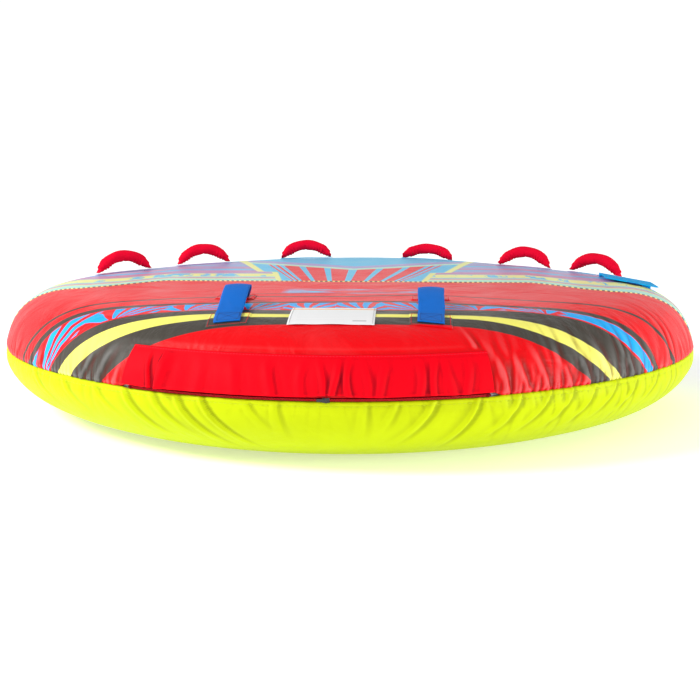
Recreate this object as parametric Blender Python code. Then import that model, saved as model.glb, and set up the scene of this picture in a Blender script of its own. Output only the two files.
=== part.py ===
# Towable deck tube for three riders: an inflated bladder inside a sewn fabric cover.
# Metres, +Z up.  The tube lies on the floor at Z = 0 with its tow point on +Y and
# its boarding side on -Y.  The origin is on the floor, under the centre of the round
# rear edge, so the zipper, which follows that edge, turns about the Z axis.
import math

import bmesh
import bpy
import numpy as np
from mathutils import Matrix, Vector

# Outline, as a radius that depends on the bearing from the rear axis (-Y).
REAR_RADIUS = 0.756
WAIST_GAIN = 0.044
SHOULDER_DROP = 0.092
NOSE_GAIN = 0.034
REAR_ARC, WAIST, SHOULDER, NOSE = 35.0, 90.0, 135.0, 180.0

# Section, as a height that depends on the fraction of the outline radius.
DECK_Z = 0.2825
EQUATOR_Z = 0.121
SEAM_Z = 0.1445
UPPER_POWER, UPPER_ROOT = 11.0, 2.12
LOWER_POWER, LOWER_ROOT = 4.3, 1.5
FLAT_BASE = 0.50

# Fabric.
COVER_T = 0.0016
BLADDER_T = 0.0016
BLADDER_INSET = 0.0070
BAFFLE_X = (-0.48, -0.16, 0.16, 0.48)
BAFFLE_REACH, BAFFLE_NARROWING, BAFFLE_CLEAR = 0.46, 0.42, 0.0045
GAP = 0.0003
PANEL_COLUMNS = 24
REAR_ROWS, FRONT_ROWS = 9, 11
BASE_CELLS = 24
BLADDER_CELLS = 12
DECK_RINGS = 5 / 14
DECK_RUN = 0.68

# Sewn joint between the rear and the front top panel, as y against |x|.
DECK_SEAM_X = (0.0, 0.425, 0.470, 0.530, 0.590, 0.650, 0.740, 0.830)
DECK_SEAM_Y = (-0.068, -0.068, -0.110, -0.168, -0.185, -0.160, -0.145, -0.150)

# Zipper along the rear seam, and the flap over it.  Bearings in degrees.
ZIP_START, ZIP_END = -31.0, 23.5
ZIP_Z = SEAM_Z + 0.0020
ZIP_SLOT = 0.0037
BEAD_HALF = 0.0020
BEAD_PROUD = 0.0003
TAPE_HEIGHT = 0.0150
TAPE_INSET, TAPE_T = 0.0046, 0.0006
FLAP_TOP_Z, FLAP_LOW_Z = 0.2225, 0.1520
FLAP_T = 0.0012
SLIDER_BEARING = -0.1
SLIDER_LENGTH = 0.013
SLIDER_HALF = 0.0045
PULL_LENGTH = 0.017

# Handles, two for each rider: the centre of each base line, its direction, and how far
# the grip leans forward.
HANDLES = ((-0.574, 0.150, 34.0, 0.0), (-0.405, 0.345, 24.0, 0.0), (-0.150, 0.560, 8.0, 25.0),
           (0.190, 0.558, -8.0, 44.0), (0.440, 0.325, -24.0, 16.0), (0.605, 0.185, -36.0, 0.0))
HANDLE_HALF_SPAN = 0.060
HANDLE_END_LIFT, HANDLE_RISE = 0.0135, 0.0270
HANDLE_RADIUS, HANDLE_END_RADIUS = 0.0135, 0.0095
HANDLE_AXIS_LIFT = 0.0060
COVER_WALL = 0.0017
GRIP_SIDES = 8
FOAM_RADIUS, FOAM_BORE = 0.0115, 0.0062
CORE_WIDTH, CORE_T = 0.0090, 0.0022
PATCH_OVERHANG, PATCH_WIDTH, PATCH_T, PATCH_LIFT = 0.014, 0.026, 0.0010, 0.0009

# Boarding straps: 50 mm webbing, bowed between two sewn ends.
STRAP_WIDTH, STRAP_T = 0.0508, 0.0016
STRAP_REAR_Y, STRAP_FRONT_Y = -0.626, -0.345
STRAP_SEWN = 0.046
STRAPS = (("left", -0.198, -0.217, 0.036), ("right", 0.187, 0.189, 0.032))
STRAP_PATCH_T = 0.0010

# Care label.
LABEL_HALF, LABEL_REAR_Y, LABEL_FRONT_Y = 0.082, -0.650, -0.528
LABEL_T = 0.0006

# Valve in the deck beside the right-hand rider, under its own flap.
VALVE_X, VALVE_Y = 0.662, 0.041
WELL_RADIUS, WELL_DEPTH, WELL_WALL = 0.027, 0.024, 0.0012
WELL_FLANGE, FLANGE_DROP = 0.0360, 0.0105
COVER_HOLE = 0.0320
SEAT_RADIUS, SEAT_BORE, SEAT_HEIGHT = 0.0165, 0.0100, 0.0075
CAP_RADIUS = 0.0150
RING_T = 0.0018
FLAP_FAR_Y, FLAP_NEAR_Y = 0.095, -0.012
FLAP_LEFT_X, FLAP_RIGHT_X = 0.603, 0.728
FLAP_LEFT_Z, FLAP_RIGHT_Z = 0.2865, 0.2640
VALVE_FLAP_T = 0.0022
HEM_GAP, HEM_WIDTH = 0.0045, 0.010

# Tow point at the nose.
TOW_WIDTH = 0.0508
TOW_EYE_Y, TOW_EYE_Z = 0.782, 0.122
EYE_BORE, EYE_WALL = 0.0052, 0.0026
RING_ROD = 0.0045
RING_HALF, RING_DROP = 0.0340, 0.0560

COLOURS = {
    "red": (0.72, 0.012, 0.018),
    "dark_red": (0.62, 0.004, 0.010),
    "crimson": (0.70, 0.004, 0.035),
    "lime": (0.68, 0.80, 0.01),
    "sky": (0.16, 0.56, 0.82),
    "royal": (0.01, 0.16, 0.62),
    "deep_blue": (0.01, 0.08, 0.36),
    "white": (0.85, 0.85, 0.84),
    "black": (0.012, 0.012, 0.013),
    "grey": (0.09, 0.09, 0.10),
    "foam": (0.22, 0.22, 0.23),
    "vinyl": (0.42, 0.45, 0.48),
    "steel": (0.62, 0.63, 0.65),
}


def clear_scene():
    for item in list(bpy.data.objects):
        bpy.data.objects.remove(item, do_unlink=True)


def smooth(value):
    part = np.clip(value, 0.0, 1.0)
    return part * part * (3.0 - 2.0 * part)


def outline_radius(bearing):
    side = np.abs(bearing)
    radius = REAR_RADIUS + WAIST_GAIN * smooth((side - REAR_ARC) / (WAIST - REAR_ARC))
    radius = radius - SHOULDER_DROP * smooth((side - WAIST) / (SHOULDER - WAIST))
    return radius + NOSE_GAIN * smooth((side - SHOULDER) / (NOSE - SHOULDER))


def upper_height(part):
    bulge = (1.0 - np.clip(part, 0.0, 1.0) ** UPPER_POWER) ** (1.0 / UPPER_ROOT)
    return EQUATOR_Z + (DECK_Z - EQUATOR_Z) * bulge


def lower_height(part):
    rise = np.clip((part - FLAT_BASE) / (1.0 - FLAT_BASE), 0.0, 1.0) ** LOWER_POWER
    return EQUATOR_Z * (1.0 - (1.0 - rise) ** (1.0 / LOWER_ROOT))


def part_at_height(height):
    bulge = (height - EQUATOR_Z) / (DECK_Z - EQUATOR_Z)
    return (1.0 - bulge ** UPPER_ROOT) ** (1.0 / UPPER_POWER)


def make_run(part, height):
    # A section line by its length: fractions of the whole length, with part and height.
    step = np.hypot(np.diff(part) * REAR_RADIUS, np.diff(height))
    length = np.concatenate([[0.0], np.cumsum(step)])
    return length / length[-1], part, height, length[-1]


def top_run():
    edge = part_at_height(SEAM_Z)
    part = edge * (1.0 - np.linspace(1.0, 0.0, 900) ** 2.2)
    return make_run(part, upper_height(part))


def base_run():
    under = 1.0 - np.linspace(1.0, 0.0, 900) ** 2.2
    above = np.linspace(1.0, part_at_height(SEAM_Z), 40)[1:]
    part = np.concatenate([under, above])
    height = np.concatenate([lower_height(under), upper_height(above)])
    return make_run(part, height)


TOP_RUN = top_run()
BASE_RUN = base_run()


def run_point(run, length, bearing, inset=0.0):
    # A point of the cover at a fraction of the section's length and at a bearing.
    table, parts, heights, _ = run
    slope = 1e-3
    part = np.interp(length, table, parts)
    height = np.interp(length, table, heights)
    part_step = np.interp(length + slope, table, parts) - np.interp(length - slope, table, parts)
    rise_step = np.interp(length + slope, table, heights) - np.interp(length - slope, table, heights)
    angle = np.radians(bearing)
    radius = outline_radius(bearing)
    turn = (outline_radius(bearing + 0.5) - outline_radius(bearing - 0.5)) / math.radians(1.0)
    along = np.stack([turn * np.sin(angle) + radius * np.cos(angle),
                      -turn * np.cos(angle) + radius * np.sin(angle),
                      np.zeros_like(angle)], axis=-1)
    outward = np.stack([part_step * radius * np.sin(angle),
                        -part_step * radius * np.cos(angle), rise_step], axis=-1)
    normal = np.cross(outward, along)
    normal = normal / np.linalg.norm(normal, axis=-1, keepdims=True)
    if run is BASE_RUN:
        normal = -normal
    place = np.stack([part * radius * np.sin(angle), -part * radius * np.cos(angle), height], axis=-1)
    return place - np.asarray(inset)[..., None] * normal


def deck_point(x, y, lift=0.0):
    # The point of the top surface over (x, y), raised along the surface normal.
    bearing = np.degrees(np.arctan2(x, -np.asarray(y)))
    part = np.hypot(x, y) / outline_radius(bearing)
    length = np.interp(part, TOP_RUN[1], TOP_RUN[0])
    return run_point(TOP_RUN, length, bearing, -np.asarray(lift) * np.ones_like(length))


def square_to_disc(across, along):
    # A square's ring number and bearing: rings of squares become rings round the centre.
    ring = np.maximum(np.abs(across), np.abs(along))
    safe = np.where(ring < 1e-9, 1.0, ring)
    rear_front = np.where(along < 0, 45.0 * across / safe, 180.0 - 45.0 * across / safe)
    right_left = np.sign(across) * (90.0 + 45.0 * along / safe)
    bearing = np.where(np.abs(along) >= np.abs(across), rear_front, right_left)
    return ring, np.where(bearing > 180.0, bearing - 360.0, bearing)


def ring_length(ring):
    # Few rings on the flat deck, many on the round edge.
    return np.interp(ring, (0.0, DECK_RINGS, 1.0), (0.0, DECK_RUN, 1.0))


def zip_mask(bearing):
    # One over the zipper's length, fading to zero within a panel column beyond its ends.
    fade = 90.0 / PANEL_COLUMNS
    start = smooth((bearing - ZIP_START + 1.4 * fade) / fade)
    return start * (1.0 - smooth((bearing - ZIP_END - 0.7 * fade) / fade))


def rim_limit(run, bearing):
    # Where a panel ends: at the seam, or at the zipper's slot.
    slot = ZIP_SLOT + (ZIP_Z - SEAM_Z if run is TOP_RUN else SEAM_Z - ZIP_Z)
    return 1.0 - (GAP / 2 + (slot - GAP / 2) * zip_mask(bearing)) / run[3]


def panel_surface(run, across, along, inset):
    ring, bearing = square_to_disc(across, along)
    return run_point(run, ring_length(ring) * rim_limit(run, bearing), bearing, inset)


def seam_rows(across, side):
    # The square's row on which each column crosses the deck seam, found by halving.
    low = -np.ones_like(across)
    high = np.ones_like(across)
    for _ in range(40):
        middle = (low + high) / 2
        place = panel_surface(TOP_RUN, across, middle, np.zeros_like(across))
        target = np.interp(np.abs(place[:, 0]), DECK_SEAM_X, DECK_SEAM_Y) + side * GAP / 2
        behind = place[:, 1] < target
        low = np.where(behind, middle, low)
        high = np.where(behind, high, middle)
    return (low + high) / 2


def material(name, colour, roughness=0.6, metallic=0.0):
    made = bpy.data.materials.new(name)
    made.use_nodes = True
    shader = made.node_tree.nodes["Principled BSDF"]
    shader.inputs["Base Color"].default_value = (*COLOURS[colour], 1.0)
    shader.inputs["Roughness"].default_value = roughness
    shader.inputs["Metallic"].default_value = metallic
    made.diffuse_color = (*COLOURS[colour], 1.0)
    return made


def add_mesh(name, points, faces, paint, matrix=None):
    mesh = bpy.data.meshes.new(name)
    mesh.from_pydata([tuple(map(float, point)) for point in points], [], faces)
    work = bmesh.new()
    work.from_mesh(mesh)
    bmesh.ops.recalc_face_normals(work, faces=work.faces)
    work.to_mesh(mesh)
    work.free()
    mesh.materials.append(paint)
    made = bpy.data.objects.new(name, mesh)
    bpy.context.scene.collection.objects.link(made)
    if matrix is not None:
        made.matrix_world = matrix
    return made


def sheet(name, outer, inner, paint):
    # A thin shell between two grids of points, with each cell cut along the same diagonal.
    rows, columns = outer.shape[:2]
    count = rows * columns
    points = np.concatenate([outer.reshape(-1, 3), inner.reshape(-1, 3)])
    number = np.arange(count).reshape(rows, columns)
    faces = []
    for i in range(rows - 1):
        for j in range(columns - 1):
            a, b, c, d = (int(number[k]) for k in ((i, j), (i, j + 1), (i + 1, j + 1), (i + 1, j)))
            faces += [[a, b, c], [a, c, d]]
            faces += [[c + count, b + count, a + count], [d + count, c + count, a + count]]
    rim = list(number[0, :]) + list(number[1:, -1])
    rim += list(number[-1, -2::-1]) + list(number[-2:0:-1, 0])
    for k, start in enumerate(rim):
        end = rim[(k + 1) % len(rim)]
        faces.append([int(end), int(start), int(start) + count, int(end) + count])
    return add_mesh(name, points, faces, paint)


def tube_mesh(name, rings, paint, bore=None, matrix=None):
    # A tube through rings of points: solid with capped ends, or hollow with a bore.
    count = len(rings[0])
    points = [point for ring in rings for point in ring]
    faces = strip_faces(len(rings), count, 0)
    if bore is None:
        faces.append(list(range(count)))
        faces.append(list(range(len(points) - count, len(points))))
        return add_mesh(name, points, faces, paint, matrix)
    start = len(points)
    points += [point for ring in bore for point in ring]
    faces += strip_faces(len(bore), count, start)
    last_outer, last_inner = start - count, len(points) - count
    for k in range(count):
        after = (k + 1) % count
        faces.append([k, after, start + after, start + k])
        faces.append([last_outer + k, last_outer + after, last_inner + after, last_inner + k])
    return add_mesh(name, points, faces, paint, matrix)


def strip_faces(rings, count, start):
    faces = []
    for i in range(rings - 1):
        for k in range(count):
            after = (k + 1) % count
            near, far = start + i * count, start + (i + 1) * count
            faces.append([near + k, near + after, far + after, far + k])
    return faces


def turned(name, profile, paint, matrix=None, sides=20):
    # A closed profile of (radius, height) turned about the local Z axis.
    points = []
    for k in range(sides):
        angle = math.tau * k / sides
        points += [(r * math.cos(angle), r * math.sin(angle), z) for r, z in profile]
    faces = strip_faces_closed(sides, len(profile))
    return add_mesh(name, points, faces, paint, matrix)


def strip_faces_closed(rings, count):
    faces = []
    for i in range(rings):
        for k in range(count):
            after = (k + 1) % count
            near, far = i * count, ((i + 1) % rings) * count
            faces.append([near + k, near + after, far + after, far + k])
    return faces


def box(name, low, high, paint, matrix=None):
    corners = [(x, y, z) for x in (low[0], high[0]) for y in (low[1], high[1]) for z in (low[2], high[2])]
    faces = [[0, 1, 3, 2], [4, 6, 7, 5], [0, 4, 5, 1], [2, 3, 7, 6], [0, 2, 6, 4], [1, 5, 7, 3]]
    return add_mesh(name, corners, faces, paint, matrix)


def combine(target, tools, operation):
    # Apply exact Booleans with each tool, then remove the tools.
    for tool in tools:
        step = target.modifiers.new(operation.lower(), "BOOLEAN")
        step.object = tool
        step.operation = operation
        step.solver = "EXACT"
    graph = bpy.context.evaluated_depsgraph_get()
    result = bpy.data.meshes.new_from_object(target.evaluated_get(graph))
    target.modifiers.clear()
    target.data = result
    for tool in tools:
        bpy.data.objects.remove(tool, do_unlink=True)
    return target


def swept(name, profile, start, end, step, paint):
    # A closed profile of (radius, height) carried round the Z axis between two bearings.
    count = max(2, round((end - start) / step) + 1)
    rings = []
    for bearing in np.radians(np.linspace(start, end, count)):
        rings.append([(r * math.sin(bearing), -r * math.cos(bearing), z) for r, z in profile])
    return tube_mesh(name, rings, paint)


# Cover panels -------------------------------------------------------------------------

def make_cover():
    across = np.linspace(-1.0, 1.0, PANEL_COLUMNS + 1)
    for name, rows, side, edge, paint in (
            ("cover_rear_top_panel", REAR_ROWS, -1.0, -1.0, material("cover_red", "red", 0.45)),
            ("cover_front_top_panel", FRONT_ROWS, 1.0, 1.0, material("cover_deck", "sky", 0.5))):
        seam = seam_rows(across, side)
        share = np.linspace(0.0, 1.0, rows + 1)[:, None]
        along = edge + (seam - edge)[None, :] * share
        columns = np.broadcast_to(across, along.shape)
        outer = panel_surface(TOP_RUN, columns, along, np.zeros_like(along))
        inner = panel_surface(TOP_RUN, columns, along, np.full_like(along, COVER_T))
        sheet(name, outer, inner, paint)
    side = np.linspace(-1.0, 1.0, BASE_CELLS + 1)
    columns, along = np.meshgrid(side, side)
    outer = panel_surface(BASE_RUN, columns, along, np.zeros_like(along))
    inner = panel_surface(BASE_RUN, columns, along, np.full_like(along, COVER_T))
    sheet("cover_bottom_panel", outer, inner, material("cover_lime", "lime", 0.42))


def make_bladder():
    vinyl = material("bladder_vinyl", "vinyl", 0.35)
    side = np.linspace(-1.0, 1.0, BLADDER_CELLS + 1)
    columns, along = np.meshgrid(side, side)
    for name, run in (("bladder_top_sheet", TOP_RUN), ("bladder_bottom_sheet", BASE_RUN)):
        ring, bearing = square_to_disc(columns, along)
        length = ring_length(ring) * (1.0 - GAP / run[3])
        outer = run_point(run, length, bearing, np.full_like(length, BLADDER_INSET))
        inner = run_point(run, length, bearing, np.full_like(length, BLADDER_INSET + BLADDER_T))
        sheet(name, outer, inner, vinyl)
    for number, x in enumerate(BAFFLE_X, start=1):
        make_baffle(number, x, vinyl)


def make_baffle(number, x, vinyl):
    # An upright strip that ties the bladder's top sheet to its bottom sheet.
    reach = BAFFLE_REACH - BAFFLE_NARROWING * abs(x)
    clear = BLADDER_INSET + BLADDER_T + BAFFLE_CLEAR
    ahead = np.linspace(-reach, reach, 9)
    top = [deck_point(x, y)[2] - clear for y in ahead]
    low = [base_height(x, y) + clear for y in ahead]
    outline = list(zip(ahead, top)) + list(zip(ahead[::-1], low[::-1]))
    rings = [[(x + side * BLADDER_T / 2, y, z) for y, z in outline] for side in (-1, 1)]
    tube_mesh(f"bladder_baffle_{number}", rings, vinyl)


def base_height(x, y):
    bearing = math.degrees(math.atan2(x, -y))
    return float(lower_height(np.array(math.hypot(x, y) / outline_radius(bearing))))


# Rear zipper --------------------------------------------------------------------------

def cover_radius(height):
    return REAR_RADIUS * float(part_at_height(height))


def make_zipper():
    tape = material("zipper_tape", "dark_red", 0.7)
    black = material("zipper_black", "black", 0.4)
    face = cover_radius(ZIP_Z)
    for name, side in (("zipper_upper_half", 1.0), ("zipper_lower_half", -1.0)):
        near = ZIP_Z + side * GAP / 2
        bead = ZIP_Z + side * BEAD_HALF
        far = ZIP_Z + side * TAPE_HEIGHT
        back = TAPE_INSET + TAPE_T
        edge = min(cover_radius(far), face) if side > 0 else face
        profile = [(face + BEAD_PROUD, near), (face + BEAD_PROUD, bead), (face - TAPE_INSET, bead),
                   (edge - TAPE_INSET, far), (edge - back, far), (face - back, near)]
        swept(name, profile, ZIP_START + 0.3, ZIP_END - 0.3, 2.0, tape)
    stop = [(face + 0.0008, ZIP_Z - 0.0034), (face + 0.0024, ZIP_Z - 0.0034),
            (face + 0.0024, ZIP_Z + 0.0034), (face + 0.0008, ZIP_Z + 0.0034)]
    swept("zipper_left_stop", stop, ZIP_START + 0.6, ZIP_START + 0.95, 0.35, black)
    swept("zipper_right_stop", stop, ZIP_END - 0.95, ZIP_END - 0.6, 0.35, black)
    make_slider(face, black)


def slider_frame(face):
    # Local X runs along the zipper, local Y points out of the cover, local Z is up.
    angle = math.radians(SLIDER_BEARING)
    out = Vector((math.sin(angle), -math.cos(angle), 0.0))
    along = Vector((math.cos(angle), math.sin(angle), 0.0))
    frame = Matrix((along, out, Vector((0, 0, 1)))).transposed().to_4x4()
    return Matrix.Translation(out * face + Vector((0, 0, ZIP_Z))) @ frame


def make_slider(face, black):
    frame = slider_frame(face)
    half = SLIDER_LENGTH / 2
    body = box("zipper_slider", (-half, 0.0014, -SLIDER_HALF), (half, 0.0028, SLIDER_HALF), black, frame)
    wings = [box(f"wing_{k}", (-half, -0.0004, low), (half, 0.0016, high), black, frame)
             for k, (low, high) in enumerate(((-0.0034, -0.0025), (0.0025, 0.0034)))]
    lugs = [box(f"lug_{k}", (-0.0020, 0.0026, low), (0.0020, 0.0066, high), black, frame)
            for k, (low, high) in enumerate(((-0.0043, -0.0031), (0.0031, 0.0043)))]
    pin_place = frame @ Matrix.Translation((0.0, 0.0050, 0.0))
    pin = turned_rod("pull_pin", 0.0009, -0.0037, 0.0037, black, pin_place)
    combine(body, wings + lugs + [pin], "UNION")
    barrel = turned("zipper_pull", [(0.0013, -0.0027), (0.0021, -0.0027), (0.0021, 0.0027), (0.0013, 0.0027)],
                    black, pin_place, 16)
    tab = box("tab", (-PULL_LENGTH, -0.0007, -0.0026), (-0.0016, 0.0007, 0.0026), black, pin_place)
    combine(barrel, [tab], "UNION")


def turned_rod(name, radius, low, high, paint, matrix=None, sides=16):
    rings = []
    for height in (low, high):
        rings.append([(radius * math.cos(math.tau * k / sides), radius * math.sin(math.tau * k / sides), height)
                      for k in range(sides)])
    return tube_mesh(name, rings, paint, None, matrix)


def make_zipper_flap():
    bearings = np.linspace(ZIP_START, ZIP_END, 28)
    heights = np.linspace(FLAP_TOP_Z, FLAP_LOW_Z, 4)
    turn, level = np.meshgrid(bearings, heights)
    length = np.interp(part_at_height(level), TOP_RUN[1], TOP_RUN[0])
    hang = (FLAP_TOP_Z - level) / (FLAP_TOP_Z - FLAP_LOW_Z)
    lift = 0.0010 + 0.0038 * hang
    outer = run_point(TOP_RUN, length, turn, -(lift + FLAP_T))
    inner = run_point(TOP_RUN, length, turn, -lift)
    sheet("zipper_flap", outer, inner, material("flap_red", "dark_red", 0.55))


# Handles ------------------------------------------------------------------------------

def handle_frame(x, y, turn):
    # Local X is the base line, local Z is the deck's normal, and the origin is on the deck.
    angle = math.radians(turn)
    reach = 0.9 * HANDLE_HALF_SPAN
    step = (reach * math.cos(angle), reach * math.sin(angle))
    first = Vector(deck_point(x - step[0], y - step[1]))
    second = Vector(deck_point(x + step[0], y + step[1]))
    along = (second - first).normalized()
    middle = Vector(deck_point(x, y))
    up = (Vector(deck_point(x, y, 0.01)) - middle).normalized()
    up = (up - along * up.dot(along)).normalized()
    base = (first + second) / 2
    base += up * max(0.0, (middle - base).dot(up))
    frame = Matrix((along, up.cross(along), up)).transposed().to_4x4()
    return Matrix.Translation(base) @ frame


def arch_point(share):
    # The grip's centre line: share runs from -1 at one end to 1 at the other.
    return Vector((HANDLE_HALF_SPAN * share, 0.0,
                   HANDLE_END_LIFT + HANDLE_RISE * (1.0 - abs(share) ** 2.2)))


def arch_rings(shares, radii, sides, width=None):
    rings = []
    for share, radius in zip(shares, radii):
        ahead = arch_point(min(1.0, share + 0.02)) - arch_point(max(-1.0, share - 0.02))
        ahead.normalize()
        across = Vector((0.0, 1.0, 0.0))
        over = ahead.cross(across)
        centre = arch_point(share)
        if width is None:
            angles = [math.tau * (k + 0.5) / sides for k in range(sides)]
            rings.append([centre + radius * (math.cos(a) * across + math.sin(a) * over) for a in angles])
        else:
            corners = ((1, 1), (-1, 1), (-1, -1), (1, -1))
            rings.append([centre + width / 2 * u * across + radius * v * over for u, v in corners])
    return rings


def make_handle(number, x, y, turn, lean):
    axis = Matrix.Translation((0.0, 0.0, HANDLE_AXIS_LIFT))
    tilt = axis @ Matrix.Rotation(math.radians(-lean), 4, "X") @ axis.inverted()
    frame = handle_frame(x, y, turn) @ tilt
    crimson = material(f"handle_{number}_cover", "crimson", 0.75)
    shares = (-1.0, -0.84, -0.58, -0.30, 0.0, 0.30, 0.58, 0.84, 1.0)
    radii = [HANDLE_END_RADIUS] + [HANDLE_RADIUS] * 7 + [HANDLE_END_RADIUS]
    bore = [radius - COVER_WALL for radius in radii]
    tube_mesh(f"handle_{number}_cover", arch_rings(shares, radii, GRIP_SIDES), crimson,
              arch_rings(shares, bore, GRIP_SIDES), frame)
    inner = shares[1:-1]
    tube_mesh(f"handle_{number}_foam", arch_rings(inner, [FOAM_RADIUS] * 7, GRIP_SIDES),
              material(f"handle_{number}_foam", "foam", 0.9),
              arch_rings(inner, [FOAM_BORE] * 7, GRIP_SIDES), frame)
    make_core(number, frame)
    make_patch(number, x, y, turn)


def make_core(number, frame):
    # Doubled webbing through the grip, ending on the base line that the handle turns about.
    shares = (-1.0, -0.66, -0.33, 0.0, 0.33, 0.66, 1.0)
    rings = arch_rings(shares, [CORE_T / 2] * len(shares), 4, CORE_WIDTH)
    foot = []
    for side in (-1, 1):
        centre = Vector((side * (HANDLE_HALF_SPAN + 0.0065), 0.0, HANDLE_AXIS_LIFT))
        corners = ((1, 1), (-1, 1), (-1, -1), (1, -1))
        foot.append([centre + Vector((v * side * -0.0008, CORE_WIDTH / 2 * u * 0.8, v * CORE_T / 2 * 0.8))
                     for u, v in corners])
    tube_mesh(f"handle_{number}_webbing", [foot[0]] + rings + [foot[1]],
              material(f"handle_{number}_webbing", "black", 0.8), None, frame)


def make_patch(number, x, y, turn):
    # The reinforcing strip that the webbing's two ends are sewn to, flat on the deck.
    angle = math.radians(turn)
    reach = HANDLE_HALF_SPAN + PATCH_OVERHANG
    out, wide = np.meshgrid(np.linspace(-reach, reach, 7), np.array((-0.5, 0.0, 0.5)) * PATCH_WIDTH, indexing="ij")
    px = x + out * math.cos(angle) - wide * math.sin(angle)
    py = y + out * math.sin(angle) + wide * math.cos(angle)
    outer = deck_point(px, py, np.full_like(px, PATCH_LIFT + PATCH_T))
    inner = deck_point(px, py, np.full_like(px, PATCH_LIFT))
    sheet(f"handle_{number}_patch", outer, inner, material(f"handle_{number}_patch", "black", 0.85))


def make_handles():
    for number, place in enumerate(HANDLES, start=1):
        make_handle(number, *place)


# Boarding straps and label ------------------------------------------------------------

def strap_lift(y, bow):
    share = (y - STRAP_REAR_Y - STRAP_SEWN) / (STRAP_FRONT_Y - STRAP_REAR_Y - 2 * STRAP_SEWN)
    return bow * np.sin(np.pi * np.clip(share, 0.0, 1.0)) ** 1.35


def make_straps():
    webbing = material("strap_blue", "royal", 0.65)
    patch = material("strap_patch", "red", 0.5)
    for side, rear_x, front_x, bow in STRAPS:
        y = np.linspace(STRAP_REAR_Y, STRAP_FRONT_Y, 17)
        middle = rear_x + (front_x - rear_x) * (y - STRAP_REAR_Y) / (STRAP_FRONT_Y - STRAP_REAR_Y)
        width = np.array((-0.5, 0.0, 0.5)) * STRAP_WIDTH
        lift = GAP + STRAP_PATCH_T + 0.0022 + strap_lift(y, bow)
        px = middle[:, None] + width[None, :]
        py = np.repeat(y[:, None], 3, axis=1)
        level = np.repeat(lift[:, None], 3, axis=1)
        sheet(f"boarding_strap_{side}", deck_point(px, py, level + STRAP_T), deck_point(px, py, level), webbing)
        for end, low in (("rear", STRAP_REAR_Y), ("front", STRAP_FRONT_Y - STRAP_SEWN)):
            row = np.linspace(low - 0.010, low + STRAP_SEWN + 0.010, 4)
            centre = np.interp(row, y, middle)
            px = centre[:, None] + width[None, :] * 1.6
            py = np.repeat(row[:, None], 3, axis=1)
            flat = np.full_like(px, GAP + 0.0006)
            sheet(f"strap_patch_{side}_{end}", deck_point(px, py, flat + STRAP_PATCH_T),
                  deck_point(px, py, flat), patch)


def make_label():
    y = np.linspace(LABEL_REAR_Y, LABEL_FRONT_Y, 7)
    x = np.linspace(-LABEL_HALF, LABEL_HALF, 7)
    px, py = np.meshgrid(x, y)
    flat = np.full_like(px, GAP + 0.0007)
    sheet("warning_label", deck_point(px, py, flat + LABEL_T), deck_point(px, py, flat),
          material("label_white", "white", 0.4))


# Valve --------------------------------------------------------------------------------

def valve_frame():
    # Origin on the deck over the valve, local Z along the deck's normal there.
    base = Vector(deck_point(np.array(VALVE_X), np.array(VALVE_Y)))
    up = (Vector(deck_point(np.array(VALVE_X), np.array(VALVE_Y), 0.01)) - base).normalized()
    along = Vector((0.0, 1.0, 0.0))
    along = (along - up * along.dot(up)).normalized()
    frame = Matrix((along.cross(up), along, up)).transposed().to_4x4()
    return Matrix.Translation(base) @ frame


def make_valve(front_panel, bladder_top):
    frame = valve_frame()
    black = material("valve_black", "black", 0.45)
    grey = material("valve_grey", "grey", 0.5)
    red = material("valve_cap_red", "crimson", 0.35)
    hole = turned_rod("cover_hole", COVER_HOLE, -0.03, 0.02, black, frame, 24)
    combine(front_panel, [hole], "DIFFERENCE")
    drum = turned_rod("bladder_hole", WELL_FLANGE + GAP, -0.03, 0.02, black, frame, 24)
    combine(bladder_top, [drum], "DIFFERENCE")
    deep = -WELL_DEPTH
    turned("valve_boot", [(WELL_FLANGE, -FLANGE_DROP), (WELL_RADIUS, -FLANGE_DROP),
                          (WELL_RADIUS, deep + WELL_WALL), (SEAT_RADIUS - 0.003, deep + WELL_WALL),
                          (SEAT_RADIUS - 0.003, deep), (WELL_RADIUS + WELL_WALL, deep),
                          (WELL_RADIUS + WELL_WALL, -FLANGE_DROP - WELL_WALL),
                          (WELL_FLANGE, -FLANGE_DROP - WELL_WALL)], material("boot_vinyl", "vinyl", 0.4), frame, 24)
    floor = deep + WELL_WALL + GAP
    turned("valve_seat", [(SEAT_BORE, floor), (SEAT_RADIUS, floor), (SEAT_RADIUS, floor + 0.0022),
                          (SEAT_BORE + 0.0022, floor + 0.0022), (SEAT_BORE + 0.0022, floor + SEAT_HEIGHT),
                          (SEAT_BORE, floor + SEAT_HEIGHT)], black, frame)
    low = floor + 0.0022 + GAP
    turned("valve_seal", [(SEAT_BORE + 0.0026, low), (SEAT_BORE + 0.0044, low),
                          (SEAT_BORE + 0.0044, low + RING_T), (SEAT_BORE + 0.0026, low + RING_T)], grey, frame)
    make_cap(floor, low, red, frame)


def make_cap(floor, low, red, frame):
    # A cup over the seat's spout, closed on top, with a grip bar across it.
    skirt = low + RING_T + GAP
    roof = floor + SEAT_HEIGHT + GAP
    inner = SEAT_BORE + 0.0026
    outline = [(inner, skirt), (CAP_RADIUS, skirt), (CAP_RADIUS, roof + 0.0016), (0.0, roof + 0.0016),
               (0.0, roof), (inner, roof)]
    cap = cup_mesh("valve_cap", outline, red, frame)
    bar = box("bar", (-0.0125, -0.0016, roof + 0.0010), (0.0125, 0.0016, roof + 0.0046), red, frame)
    combine(cap, [bar], "UNION")


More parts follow.
